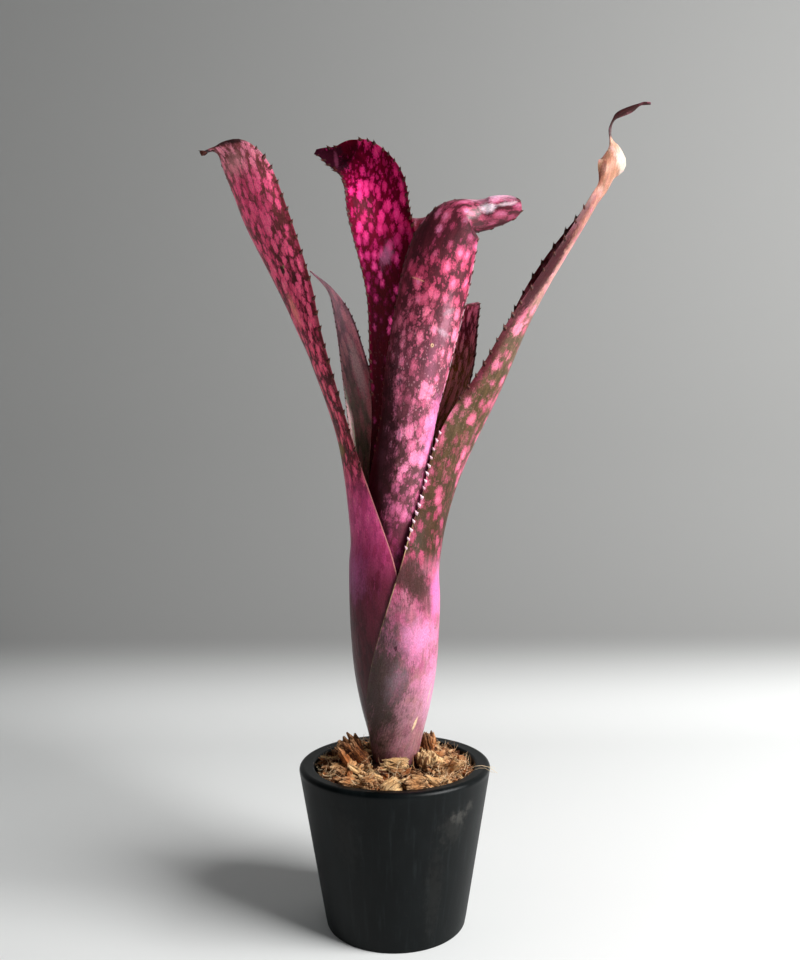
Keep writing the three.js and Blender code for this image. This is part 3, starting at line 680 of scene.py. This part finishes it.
def make_leaf(leaf, *materials):
    outer, inner, place, shares = leaf_rows(leaf, COLUMNS)
    rows, width = outer.shape[:2]
    draws = random.Random(leaf["name"])
    points = np.concatenate([outer.reshape(-1, 3), inner.reshape(-1, 3)])
    faces = blade_faces(rows, width)
    flags = [0] * len(faces)
    kinds = [(leaf["spines"], (LEFT_EDGE, RIGHT_EDGE))]
    if "teeth" in leaf:
        kinds.append((leaf["teeth"], (LEFT_EDGE,)))
    for kind, (row, edges) in enumerate(kinds, 1):
        spines, thorns = leaf_spines(row, edges, outer, inner, draws)
        faces += [[len(points) + k for k in face] for face in thorns]
        flags += [kind] * len(thorns)
        points = np.concatenate([points, spines])
    piece = new_mesh(leaf["name"] + "_blade", points, faces, materials[:1 + len(kinds)])
    piece.data.polygons.foreach_set("material_index", flags)
    flat = np.tile(place.reshape(-1, 3), (2, 1))
    side = np.repeat([0, 1], rows * width)
    share = np.tile(shares, 2 * rows)
    blank = np.zeros((len(points) - len(flat), 3))
    spot = np.stack([flat[:, 0], flat[:, 1], side], axis=1)
    where = np.stack([share, flat[:, 2], np.zeros(len(flat))], axis=1)
    set_attribute(piece, "place", np.concatenate([spot, blank]))
    set_attribute(piece, "where", np.concatenate([where, blank]))
    return piece


class Field:
    """What a node of a material gives out. Numbers can be added, taken away and multiplied."""

    def __init__(self, nodes, socket):
        self.nodes, self.socket = nodes, socket

    def __add__(self, other):
        return self.nodes.math("ADD", self, other)

    def __sub__(self, other):
        return self.nodes.math("SUBTRACT", self, other)

    def __mul__(self, other):
        return self.nodes.math("MULTIPLY", self, other)


class Nodes:
    """A material and short ways to add nodes to it. Patterns are laid out in millimetres."""

    def __init__(self, name):
        self.material = bpy.data.materials.new(name)
        self.material.use_nodes = True
        self.tree = self.material.node_tree
        self.shader = self.tree.nodes["Principled BSDF"]

    def link(self, value, socket):
        if isinstance(value, Field):
            self.tree.links.new(value.socket, socket)
        elif isinstance(value, tuple) and socket.type == "RGBA":
            socket.default_value = (*value, 1)
        else:
            socket.default_value = value

    def add(self, kind, inputs, **settings):
        node = self.tree.nodes.new("ShaderNode" + kind)
        for name, value in settings.items():
            setattr(node, name, value)
        for key, value in inputs.items():
            self.link(value, node.inputs[key])
        return node

    def outputs(self, kind, inputs, **settings):
        node = self.add(kind, inputs, **settings)
        return {socket.identifier: Field(self, socket) for socket in node.outputs}

    def first(self, kind, inputs, **settings):
        return next(iter(self.outputs(kind, inputs, **settings).values()))

    def math(self, operation, a, b):
        return self.first("Math", {0: a, 1: b}, operation=operation)

    def step(self, value, low, high):
        """0 below low, 1 above high and smooth between them. Low may be the greater one."""
        inputs = {"Value": value, "From Min": low, "From Max": high}
        return self.first("MapRange", inputs, interpolation_type="SMOOTHSTEP")

    def band(self, value, low, high, softness):
        """1 between low and high, fading out on either side of both."""
        rise = self.step(value, low - softness, low + softness)
        return rise * self.step(value, high + softness, high - softness)

    def by_height(self, height, stops):
        """A number that follows the height through (height, number) stops."""
        total = stops[0][1]
        for (low, before), (high, after) in zip(stops, stops[1:]):
            if before != after:
                total = self.math("ADD", total, self.step(height, low, high) * (after - before))
        return total

    def mix(self, share, a, b, blend="MIX"):
        node = self.add("Mix", {}, data_type="RGBA", blend_type=blend)
        colours = [socket for socket in node.inputs if socket.type == "RGBA"]
        for value, socket in zip((share, a, b), (node.inputs[0], *colours)):
            self.link(value, socket)
        return [Field(self, socket) for socket in node.outputs if socket.type == "RGBA"][0]

    def tinted(self, colour, tint):
        return self.mix(1.0, colour, tint, "MULTIPLY")

    def colour_by_height(self, height, stops):
        """A colour that follows the height through (height, colour) stops."""
        colour = stops[0][1]
        for (low, _), (high, after) in zip(stops, stops[1:]):
            colour = self.mix(self.step(height, low, high), colour, after)
        return colour

    def vector(self, x, y, z=0.0):
        return self.first("CombineXYZ", {0: x, 1: y, 2: z})

    def parts(self, vector):
        return self.outputs("SeparateXYZ", {0: vector}).values()

    def stretched(self, vector, x, y, z=1.0):
        return self.first("VectorMath", {0: vector, 1: (x, y, z)}, operation="MULTIPLY")

    def noise(self, vector, grain, detail=2.0, roughness=0.5):
        """Noise from 0 to 1. Grain gives its bumps per millimetre along each axis."""
        inputs = {"Vector": self.stretched(vector, *grain), "Scale": 1.0, "Detail": detail,
                  "Roughness": roughness}
        return self.first("TexNoise", inputs)

    def warp(self, vector, grain):
        """Two noises from 0 to 1 that have nothing to do with each other."""
        moved = self.outputs("TexNoise", {"Vector": self.stretched(vector, *grain)})["Color"]
        return list(self.parts(moved))[:2]

    def cells(self, vector, grain):
        """Distance to the middle of the nearest cell, and a random number for each cell."""
        cell = self.outputs("TexVoronoi", {"Vector": self.stretched(vector, *grain), "Scale": 1.0})
        return cell["Distance"], list(self.parts(cell["Color"]))[0]

    def ellipse(self, vector, centre, halves, tilt, softness, frayed):
        """A soft ellipse: 1 in its middle and 0 outside it."""
        reach = self.first("Mapping", {
            "Vector": vector,
            "Location": (*centre, 0),
            "Rotation": (0, 0, math.radians(tilt)),
            "Scale": (*halves, 1),
        }, vector_type="TEXTURE")
        distance = self.outputs("VectorMath", {0: reach}, operation="LENGTH")["Value"]
        return self.step(distance + frayed, 1.0, 1.0 - softness)

    def attribute(self, name):
        return self.outputs("Attribute", {}, attribute_name=name)["Vector"]

    def place_in_mm(self):
        place = self.outputs("TexCoord", {})["Object"]
        return self.stretched(place, 1 / MM, 1 / MM, 1 / MM)

    def bump(self, height, depth_mm, below=None):
        inputs = {"Height": height, "Distance": depth_mm * MM}
        if below:
            inputs["Normal"] = below
        return self.first("Bump", inputs)

    def finish(self, **inputs):
        for name, value in inputs.items():
            self.link(value, self.shader.inputs[name.replace("_", " ").title().replace("Ior", "IOR")])
        return self.material


def spot_field(n, across, along, layer, look, cover):
    """Share of spot colour, distance from the spot's middle, and a random number for each spot."""
    wide, long = look["size"]
    flat = n.vector(across, along, layer)
    warp = n.warp(flat, (0.8 / wide, 0.8 / long))
    bent = n.vector(
        across + (warp[0] - 0.5) * (look["wander"] * wide),
        along + (warp[1] - 0.5) * (look["wander"] * long),
        layer,
    )
    shared = (n.noise(flat, (0.07, 0.035)) - 0.5) * look["patches"]
    shared += (n.noise(flat, (1.0, 0.12)) - 0.5) * look["ragged"]
    shared += n.noise(flat, (2.2, 0.9), detail=3.0, roughness=0.7) * 0.7 - 0.35
    large, chance = n.cells(bent, (1 / wide, 1 / long))
    lesser, lesser_chance = n.cells(bent, (2.3 / wide, 2.3 / long))
    reach = cover * 0.5 + 0.2
    large_reach = (chance * 0.6 + 0.7) * reach
    lesser_reach = (lesser_chance * 0.95 + 0.25) * reach
    large_spots = n.step(large_reach - large + shared, -look["soft"], look["soft"])
    lesser_spots = n.step(lesser_reach - lesser + shared * 0.8, -0.08, 0.08)
    return n.math("MAXIMUM", large_spots, lesser_spots * look["small"]), large, chance


def leaf_material(leaf, number):
    look = {**USUAL_LOOK, **LOOKS[leaf["name"]]}
    n = Nodes(leaf["slot"])
    across, along, face = n.parts(n.attribute("place"))
    share, from_edge, _ = n.parts(n.attribute("where"))
    x, _, height = n.parts(n.place_in_mm())
    layer = face * FACE_STEP + LEAF_STEP * number
    flat = n.vector(across, along, layer)
    ragged = n.noise(flat, (1.1, 0.4), detail=4.0, roughness=0.65) - 0.5

    lie = (x, height) if look["upright"] else (across, along)
    spots, from_heart, chance = spot_field(n, *lie, layer, look, n.by_height(height, look["cover"]))
    ground = n.colour_by_height(height, look["ground"])
    spot_colour = n.colour_by_height(height, look["spots"])
    tone = n.noise(flat, (0.35, 0.1), detail=3.0)
    ground = n.mix(n.step(tone, 0.3, 0.75), ground, n.tinted(ground, GROUND_LIFT))
    spot_colour = n.mix(n.step(chance, 0.1, 0.8), n.tinted(spot_colour, SPOT_DIMMING), spot_colour)
    hearts = n.step(from_heart, 0.42, 0.08) * (chance * 0.6 * n.step(height, *HEARTS_FROM))
    spot_colour = n.mix(hearts, spot_colour, look["heart"])
    if look["rings"]:
        ring = n.step(from_heart, 0.15, 0.07) * look["rings"]
        spot_colour = n.mix(ring, spot_colour, n.mix(0.6, spot_colour, ground))
    colour = n.mix(spots, ground, spot_colour)

    streaks = n.noise(flat, (1.7, 0.045), detail=3.0)
    dark_streaks = n.step(streaks, 0.54, 0.7) * look["streaks"]
    colour = n.mix(dark_streaks, colour, n.tinted(colour, STREAK_TINTS[0]))
    pale_streaks = n.step(streaks, 0.44, 0.3) * (0.6 * look["streaks"])
    colour = n.mix(pale_streaks, colour, n.tinted(colour, STREAK_TINTS[1]))
    fleck, fleck_chance = n.cells(flat, (0.75, 0.5))
    flecks = n.step(fleck_chance * 0.4 - fleck, -0.02, 0.08) * n.band(height, *FLECKS_BETWEEN, 20)
    colour = n.mix(flecks * look["flecks"], colour, n.mix(0.55, colour, PALE_FLECK))

    for side, low, high, width, tint, strength in look["margins"]:
        near = n.step(from_edge + ragged * (0.6 * width), width, 0.3 * width)
        here = n.step(share * side, -0.1, 0.1) * n.band(height, low, high, 8)
        colour = n.mix(near * here * strength, colour, tint)
    frayed = ragged * 1.1
    uneven = frayed + (n.noise(flat, (0.2, 0.13), detail=3.0) - 0.5)
    front = n.vector(x, height)
    for at_x, at_z, half_width, half_height, tilt, softness, tint, strength in look["blotches"]:
        outline = uneven if half_width > WIDE_BLOTCH else frayed
        blotch = n.ellipse(front, (at_x, at_z), (half_width, half_height), tilt, softness, outline)
        colour = n.mix(blotch * strength, colour, tint)

    grain = n.step(n.noise(flat, (1.6, 0.8), detail=5.0, roughness=0.8), 0.3, 0.7)
    colour = n.mix(grain, n.tinted(colour, GRAIN_TINTS[0]), n.tinted(colour, GRAIN_TINTS[1]))
    scurf = n.noise(flat, (2.2, 1.6), detail=4.0, roughness=0.7) + (tone - 0.5) * 0.3
    scurf = n.step(scurf, 0.52, 0.75) * look["scurf"]
    colour = n.mix(scurf, colour, PALE_SCURF)
    if look["inside"]:
        inside = n.colour_by_height(height, look["inside"])
        colour = n.mix(face, colour, n.mix(spots * 0.35, inside, spot_colour))

    striae = n.noise(flat, (2.6, 0.05))
    hollows = n.noise(flat, (0.16, 0.05))
    smooth = n.math("ADD", n.by_height(height, look["roughness"]), -0.06)
    return n.finish(
        base_color=colour,
        roughness=smooth + (ragged * 0.16 + scurf * 0.3),
        normal=n.bump(striae, 0.12, n.bump(hollows, look["hollows"])),
        specular_ior_level=look["gloss"],
        subsurface_weight=look["glow"],
        subsurface_radius=(1.6 * MM, 0.3 * MM, 0.6 * MM),
        subsurface_scale=1.0,
        ior=1.42,
    )


def spine_material(name, colours):
    n = Nodes(name)
    tone = n.noise(n.place_in_mm(), (0.8, 0.8, 0.8))
    colour = n.mix(n.step(tone, 0.35, 0.7), *colours)
    return n.finish(base_color=colour, roughness=0.6, specular_ior_level=0.2)


# Pot
def wall_outside(height):
    """Radius of the outer side of the pot's wall at a height."""
    slope = (POT_TOP_RADIUS - POT_FOOT_RADIUS) / (POT_HEIGHT - RIM_ROUNDING)
    return POT_FOOT_RADIUS + slope * height


def wall_inside(height):
    return wall_outside(height) - POT_WALL


def pot_profile():
    """Radius and height pairs of the pot's wall, from the middle of its underside round to its floor."""
    top = POT_HEIGHT - RIM_ROUNDING
    rim_inside = POT_TOP_RADIUS - RIM_WIDTH
    underside = POT_HEIGHT - RIM_DEPTH
    below = underside - RIM_FILLET

    def arc(centre, radius, start, end, steps):
        turns = np.radians(np.linspace(start, end, steps + 1))
        return [(centre[0] + radius * math.cos(t), centre[1] + radius * math.sin(t)) for t in turns]

    profile = [(0, 0)]
    profile += arc((POT_FOOT_RADIUS - FOOT_ROUNDING, FOOT_ROUNDING), FOOT_ROUNDING, -90, 0, 5)
    profile += [(wall_outside(height), height) for height in np.linspace(4, top - 2, 12)]
    profile += arc((POT_TOP_RADIUS - RIM_ROUNDING, top), RIM_ROUNDING, 0, 90, 8)
    profile += arc((rim_inside + LIP_ROUNDING, POT_HEIGHT - LIP_DROP), LIP_ROUNDING, 75, 180, 7)
    profile += [(rim_inside, underside + RIM_BEVEL), (rim_inside + RIM_BEVEL, underside)]
    profile += [(wall_inside(below) - RIM_BEVEL, below + 0.4), (wall_inside(below), below - RIM_BEVEL)]
    profile += [(wall_inside(POT_FLOOR + 1), POT_FLOOR + 1), (wall_inside(POT_FLOOR) - 1, POT_FLOOR)]
    return profile + [(0, POT_FLOOR)]


def on_circle(radius, angle, height):
    """Point at a distance from the pot's axis, an angle round it and a height."""
    return radius * math.cos(angle), radius * math.sin(angle), height


def ring_points(profile, sides):
    """The points of a profile turned round the axis, column by column."""
    angles = [math.tau * k / sides for k in range(sides)]
    return [on_circle(radius, angle, height) for angle in angles for radius, height in profile]


def turned(name, profile, sides, materials):
    """A closed solid of revolution from a profile that starts and ends on the axis."""
    ring = profile[1:-1]
    rows = len(ring)
    bottom, top = rows * sides, rows * sides + 1
    points = ring_points(ring, sides) + [(0, 0, profile[0][1]), (0, 0, profile[-1][1])]
    faces = []
    for k in range(sides):
        low, high = k * rows, (k + 1) % sides * rows
        faces += [(low + i, high + i, high + i + 1, low + i + 1) for i in range(rows - 1)]
    for k in range(sides):
        low, high = k * rows, (k + 1) % sides * rows
        faces += [(bottom, high, low), (top, low + rows - 1, high + rows - 1)]
    return new_mesh(name, points, faces, materials, smooth_angle=50)


def pot_material():
    n = Nodes("pot_plastic")
    place = n.place_in_mm()
    x, y, z = n.parts(place)
    skin = n.vector(n.math("ARCTAN2", y, x) * POT_TOP_RADIUS, z)
    clouds = n.noise(place, (0.06, 0.06, 0.03), detail=4.0, roughness=0.6)
    colour = n.mix(n.step(clouds, 0.35, 0.7), *POT_COLOURS)
    streaks = n.step(n.noise(skin, (0.3, 0.035), detail=4.0, roughness=0.6), 0.5, 0.75)
    colour = n.mix(streaks * 0.45, colour, POT_STREAK_COLOUR)
    dust = n.step(n.noise(place, (0.9, 0.9, 0.6), detail=5.0, roughness=0.75), 0.56, 0.74)
    dust = dust * n.step(clouds, 0.5, 0.75)
    colour = n.mix(dust * 0.12, colour, POT_DUST_COLOUR)
    wear = (n.noise(skin, (0.35, 0.25), detail=5.0, roughness=0.7) - 0.5) * 2.5
    for centre, halves, tilt, strength in RUBBED_PLACES:
        rubbed = n.ellipse(skin, centre, halves, tilt, 0.9, wear)
        colour = n.mix(rubbed * strength, colour, RUBBED_COLOUR)
    scuffs = n.step(n.noise(skin, (0.5, 3.0), detail=3.0), 0.68, 0.78)
    colour = n.mix(scuffs * 0.2, colour, POT_SCUFF_COLOUR)
    roughness = (clouds - 0.5) * 0.2 + dust * 0.25 + 0.48
    roughness = roughness - n.step(z, POT_HEIGHT - 5, POT_HEIGHT - 2) * 0.14
    relief = n.bump(n.noise(place, (3.0, 3.0, 3.0), detail=3.0), 0.03)
    return n.finish(base_color=colour, roughness=roughness, normal=relief, specular_ior_level=0.14)


def cut_out(piece, cutters):
    """Cuts the cutters out of a piece and removes them."""
    for cutter in cutters:
        cut = piece.modifiers.new("hole", "BOOLEAN")
        cut.operation = "DIFFERENCE"
        cut.object = cutter
    graph = bpy.context.evaluated_depsgraph_get()
    mesh = bpy.data.meshes.new_from_object(piece.evaluated_get(graph))
    piece.modifiers.clear()
    piece.data = mesh
    for cutter in cutters:
        bpy.data.objects.remove(cutter)


def make_pot(material):
    pot = turned("tapered_pot", pot_profile(), POT_SIDES, [material])
    low, high = -POT_FLOOR, 2 * POT_FLOOR
    drain = [(0, low), (DRAIN_HOLE_RADIUS, low), (DRAIN_HOLE_RADIUS, high), (0, high)]
    holes = []
    for i in range(DRAIN_HOLES):
        angle = (i + 0.5) * 2 * math.pi / DRAIN_HOLES
        hole = turned("hole", drain, DRAIN_HOLE_SIDES, [])
        hole.location = on_circle(DRAIN_HOLE_CIRCLE * MM, angle, 0)
        holes.append(hole)
    bpy.context.view_layer.update()
    cut_out(pot, holes)
    return pot


def pot_inside(height):
    """Radius of the room that the pot leaves to the husk at a height."""
    if height > POT_HEIGHT - RIM_DEPTH - RIM_FILLET:
        return POT_TOP_RADIUS - RIM_WIDTH - HUSK_GAP
    return wall_inside(height) - HUSK_GAP


# Husk
def husk_level(radius):
    """Height of the heap of husk at a distance from the pot's axis."""
    share = (radius - HUSK_INNER_RADIUS) / (HUSK_OUTER_RADIUS - HUSK_INNER_RADIUS)
    return HUSK_EDGE_HEIGHT + (HUSK_CROWN_HEIGHT - HUSK_EDGE_HEIGHT) * max(0, 1 - share) ** HUSK_FALL


def rod(path, radii, sides, offset, roughness):
    """A closed rod along a path: its points, and faces numbered from offset."""
    path = np.asarray(path, float)
    ahead = np.gradient(path, axis=0)
    ahead /= np.linalg.norm(ahead, axis=1)[:, None]
    side = np.cross(ahead, (0.31, 0.17, 0.93))
    side /= np.linalg.norm(side, axis=1)[:, None]
    over = np.cross(ahead, side)
    points, faces = [], []
    for place, radius, across, above in zip(path, radii, side, over):
        for k in range(sides):
            turn = math.tau * k / sides
            rough = 1 + roughness * noise.noise(Vector(place * 0.7) + Vector((offset, 3 * k, 0)))
            points.append(place + radius * rough * (math.cos(turn) * across + math.sin(turn) * above))
    last = offset + len(points) - sides
    for low in range(offset, last, sides):
        for k in range(sides):
            after = (k + 1) % sides
            faces.append((low + k, low + after, low + sides + after, low + sides + k))
    faces.append([offset + k for k in reversed(range(sides))])
    faces.append([last + k for k in range(sides)])
    return points, faces


class Heap:
    """Points, faces and looks of many rods that make one mesh."""

    def __init__(self):
        self.points, self.faces, self.grain, self.tone = [], [], [], []

    def add(self, points, faces, grain, tone):
        self.points += list(points)
        self.faces += faces
        self.grain += list(grain)
        self.tone += tone

    def piece(self, name, material):
        made = new_mesh(name, np.array(self.points), self.faces, [material], smooth_angle=45)
        set_attribute(made, "grain", self.grain)
        set_attribute(made, "tone", self.tone)
        return made


def clear_of_pot_and_plant(points):
    """Points moved in or out to where neither the pot nor the urn is."""
    heights, radii = zip(*TUBE[:4])
    reach = np.hypot(points[:, 0], points[:, 1])
    inner = np.interp(points[:, 2], heights, radii) + PLANT_GAP
    outer = np.array([pot_inside(height) for height in points[:, 2]])
    points[:, :2] *= (np.clip(reach, inner, outer) / reach)[:, None]
    return points


def add_chip(heap, draws, middle, size, turns, paleness, strands):
    """A chunk of husk: a bundle of fibrous strands whose frayed ends stand out."""
    length, wide, thick = size
    rotation = np.array(Euler([math.radians(turn) for turn in turns]).to_matrix())
    shares = np.linspace(0, 1, STRAND_RINGS)
    ends = np.repeat(np.abs(2 * shares - 1), STRAND_SIDES)
    for _ in range(strands):
        y, z = draws.uniform(-0.5, 0.5) * wide, draws.uniform(-0.5, 0.5) * thick
        start = -0.5 * length * draws.uniform(*STRAND_REACH)
        end = 0.5 * length * draws.uniform(*STRAND_REACH)
        fray = [draws.gauss(0, STRAND_FRAYING) * length for _ in range(4)]
        path = np.stack([
            start + (end - start) * shares,
            y + fray[0] * (1 - shares) ** 2 + fray[1] * shares ** 2,
            z + fray[2] * (1 - shares) ** 2 + fray[3] * shares ** 2,
        ], axis=1)
        radius = draws.uniform(*STRAND_RADIUS) * (wide + thick) / 10
        radii = radius * np.interp(shares, *STRAND_TAPER)
        own, faces = rod(path, radii, STRAND_SIDES, len(heap.points), STRAND_ROUGHNESS)
        own = np.array(own)
        hue = draws.random()
        tone = [(paleness, hue, end) for end in ends]
        placed = clear_of_pot_and_plant(own @ rotation.T + middle)
        heap.add(placed, faces, own + (0, draws.uniform(0, 900), 0), tone)


def make_husk(material):
    draws = random.Random(HUSK_SEED)
    heap = Heap()
    for i in range(CHIP_COUNT):
        spread = math.sqrt((i + 0.5) / CHIP_COUNT)
        angle = i * GOLDEN_ANGLE + draws.uniform(*CHIP_SWING)
        length = draws.uniform(*CHIP_LENGTH)
        size = (length, length * draws.uniform(*CHIP_WIDTH), length * draws.uniform(*CHIP_THICKNESS))
        out = HUSK_INNER_RADIUS + HUSK_MARGIN + (HUSK_OUTER_RADIUS - HUSK_INNER_RADIUS - 5) * spread
        level = husk_level(out) - 0.3 * size[2] + draws.uniform(*CHIP_LIFT)
        turns = [draws.uniform(*limits) for limits in CHIP_TURNS]
        middle = on_circle(out, angle, level)
        add_chip(heap, draws, middle, size, turns, draws.random() ** 1.3, STRANDS)
    for middle, size, turns, paleness, strands in BIG_CHIPS:
        add_chip(heap, draws, middle, size, turns, paleness, strands)
    return heap.piece("husk_chunks", material)


def make_bed(material):
    """The filling under the chips, with a hole for the plant, coloured darkest as painted shade between the
    chips.
    """
    hole = TUBE[1][1] + HUSK_GAP
    ring = [(hole, BED_HOLE_FOOT), (hole, husk_level(HUSK_INNER_RADIUS) - BED_DEPTH)]
    ring += [(radius, husk_level(radius) - BED_DEPTH) for radius in np.linspace(18, HUSK_OUTER_RADIUS, 6)]
    levels = (POT_HEIGHT - RIM_DEPTH - RIM_FILLET - 0.2, 70, POT_FLOOR + HUSK_GAP)
    ring += [(pot_inside(height) - 0.1, height) for height in levels]
    points, faces = ring_points(ring, POT_SIDES), []
    rows = len(ring)
    for k in range(POT_SIDES):
        low, high = k * rows, (k + 1) % POT_SIDES * rows
        for i in range(rows):
            after = (i + 1) % rows
            faces.append((low + i, low + after, high + after, high + i))
    piece = new_mesh("husk_filling", points, faces, [material])
    set_attribute(piece, "grain", [(x * 0.3, y, z) for x, y, z in points])
    # Tone -2 gives the darkest husk colour: painted shade in the gaps between the chips.
    set_attribute(piece, "tone", [(0, -2, 0)] * len(points))
    return piece


def wandering(start, heading, length, draws):
    """Path of a loose fibre."""
    place, heading = np.array(start, float), unit(np.array(heading, float))
    path = [place]
    for _ in range(FIBRE_STEPS):
        place = place + heading * length / FIBRE_STEPS
        path.append(place)
        turn = np.array([draws.gauss(0, 1), draws.gauss(0, 1), draws.gauss(0, 0.7)])
        heading = unit(heading + FIBRE_BEND * turn)
    return path


def make_fibres(material):
    draws = random.Random(HUSK_SEED + 1)
    heap = Heap()

    def lay(path, radius, shade):
        radii = radius * np.linspace(1, FIBRE_TAPER, len(path))
        points, faces = rod(path, radii, FIBRE_SIDES, len(heap.points), 0)
        heap.add(points, faces, points, [(shade, draws.random(), 1)] * len(points))

    for _ in range(FIBRE_COUNT):
        spread = math.sqrt(draws.uniform(0.05, 0.93))
        angle = draws.uniform(0, math.tau)
        out = HUSK_INNER_RADIUS + HUSK_MARGIN + (HUSK_OUTER_RADIUS - HUSK_INNER_RADIUS - 3) * spread
        start = on_circle(out, angle, husk_level(out) + draws.uniform(*FIBRE_LIFT))
        heading = (draws.gauss(0, 1), draws.gauss(0, 1), draws.uniform(-0.1, 0.9))
        length = draws.uniform(*FIBRE_LENGTH)
        end = math.hypot(start[0] + length * heading[0] * 0.5, start[1] + length * heading[1] * 0.5)
        if not HUSK_INNER_RADIUS + HUSK_MARGIN <= end <= HUSK_OUTER_RADIUS - 1:
            heading = (-math.sin(angle), math.cos(angle), 0.6)
        lay(wandering(start, heading, length, draws), draws.uniform(*FIBRE_RADIUS), draws.random())
    for path, radius in STRAY_FIBRES:
        lay(path, radius, 1)
    return heap.piece("husk_fibres", material)


def husk_material():
    n = Nodes("husk_chips")
    grain = n.attribute("grain")
    paleness, hue, ends = n.parts(n.attribute("tone"))
    fibres = n.noise(grain, (0.4, 4.0, 4.0), detail=4.0, roughness=0.75)
    blotches = n.noise(grain, (0.25, 0.5, 0.5), detail=3.0)
    coarse = n.noise(grain, (0.3, 1.8, 1.8), detail=3.0)
    light = n.mix(ends * (ends * 0.45), n.mix(paleness, *HUSK_LIGHT), HUSK_ENDS)
    level = hue * 0.5 + (fibres - 0.5) * 2.4 + (blotches - 0.45) * 1.4 + paleness * 0.35
    return n.finish(
        base_color=n.mix(n.step(level, 0.02, 0.78), n.mix(hue, *HUSK_DARK), light),
        roughness=0.85,
        normal=n.bump(fibres, 0.6, n.bump(coarse, 0.8)),
        specular_ior_level=0.2,
    )


def fibre_material():
    n = Nodes("husk_fibres")
    shade, hue, _ = n.parts(n.attribute("tone"))
    tone = n.noise(n.place_in_mm(), (0.6, 0.6, 0.6))
    colour = n.mix(tone * (hue * 0.6), n.mix(shade, *FIBRE_COLOURS), FIBRE_STAIN)
    return n.finish(base_color=colour, roughness=0.7)


def stem_material():
    n = Nodes("stem_bark")
    rings = n.noise(n.place_in_mm(), (0.3, 0.3, 1.4), detail=4.0, roughness=0.7)
    colour = n.mix(n.step(rings, 0.35, 0.65), *STEM_COLOURS)
    return n.finish(base_color=colour, roughness=0.8, normal=n.bump(rings, 0.5))


def make_stage():
    line = [(STAGE_FRONT, 0), (STAGE_BACK, 0)]
    for step in range(1, STAGE_STEPS + 1):
        turn = math.pi / 2 * step / STAGE_STEPS
        line.append((STAGE_BACK + STAGE_CURVE * math.sin(turn), STAGE_CURVE * (1 - math.cos(turn))))
    line.append((STAGE_BACK + STAGE_CURVE, STAGE_TOP))
    points = [(side * STAGE_HALF_WIDTH, y, z) for y, z in line for side in (-1, 1)]
    faces = [(2 * i, 2 * i + 1, 2 * i + 3, 2 * i + 2) for i in range(len(line) - 1)]
    n = Nodes("stage_paint")
    _, _, height = n.parts(n.place_in_mm())
    colour = n.mix(n.step(height, 0, WALL_COLOUR_FROM), FLOOR_COLOUR, WALL_COLOUR)
    material = n.finish(base_color=colour, roughness=0.9)
    sweep = new_mesh("floor_sweep", np.array(points) / MM, faces, [material])


def area_light(name, place, size, power):
    data = bpy.data.lights.new(name, "AREA")
    data.size = size
    data.energy = power
    light = bpy.data.objects.new(name, data)
    light.location = place
    light.rotation_euler = (Vector(LIGHT_TARGET) - Vector(place)).to_track_quat("-Z", "Y").to_euler()
    bpy.context.scene.collection.objects.link(light)
    return light


def make_lights():
    area_light("window", **WINDOW)
    fill = area_light("fill", **FILL)
    fill.visible_glossy = False
    world = bpy.data.worlds.new("room")
    world.use_nodes = True
    background = world.node_tree.nodes["Background"]
    background.inputs["Color"].default_value = SKY_COLOUR
    background.inputs["Strength"].default_value = SKY_STRENGTH
    bpy.context.scene.world = world
    bpy.context.scene.view_settings.view_transform = "Standard"


def make_camera():
    data = bpy.data.cameras.new("camera")
    data.sensor_width = SENSOR
    data.lens = FOCAL_PIXELS / PHOTO_HEIGHT * SENSOR
    data.clip_start = 0.01
    camera = bpy.data.objects.new("camera", data)
    camera.location = [value * MM for value in CAMERA_PLACE]
    level = Matrix.Rotation(math.radians(90 + CAMERA_PITCH), 3, "X")
    roll = Matrix.Rotation(math.radians(CAMERA_ROLL), 3, "Z")
    camera.rotation_euler = (level @ roll).to_euler()
    bpy.context.scene.collection.objects.link(camera)
    bpy.context.scene.camera = camera


def add_piece(piece, slot, *nodes):
    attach(piece, "root")
    if nodes:
        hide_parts(*nodes)


make_camera()
make_lights()
make_stage()

add_piece(make_pot(pot_material()), "pot_plastic", "pot")
husk = husk_material()
add_piece(make_bed(husk), "husk_chips", "husk_bed")
add_piece(make_husk(husk), "husk_chips")
add_piece(make_fibres(fibre_material()), "husk_chips")
spines = spine_material("leaf_spines", SPINE_COLOURS)
# The teeth's pale colour is a painted highlight.
teeth = spine_material("teeth_painted_highlight", TOOTH_HIGHLIGHT_COLOURS)
for number, leaf in enumerate(LEAVES):
    add_piece(make_leaf(leaf, leaf_material(leaf, number), spines, teeth), leaf["slot"], leaf["name"])

bpy.data.objects["stem"].data.materials.clear()
bpy.data.objects["stem"].data.materials.append(stem_material())
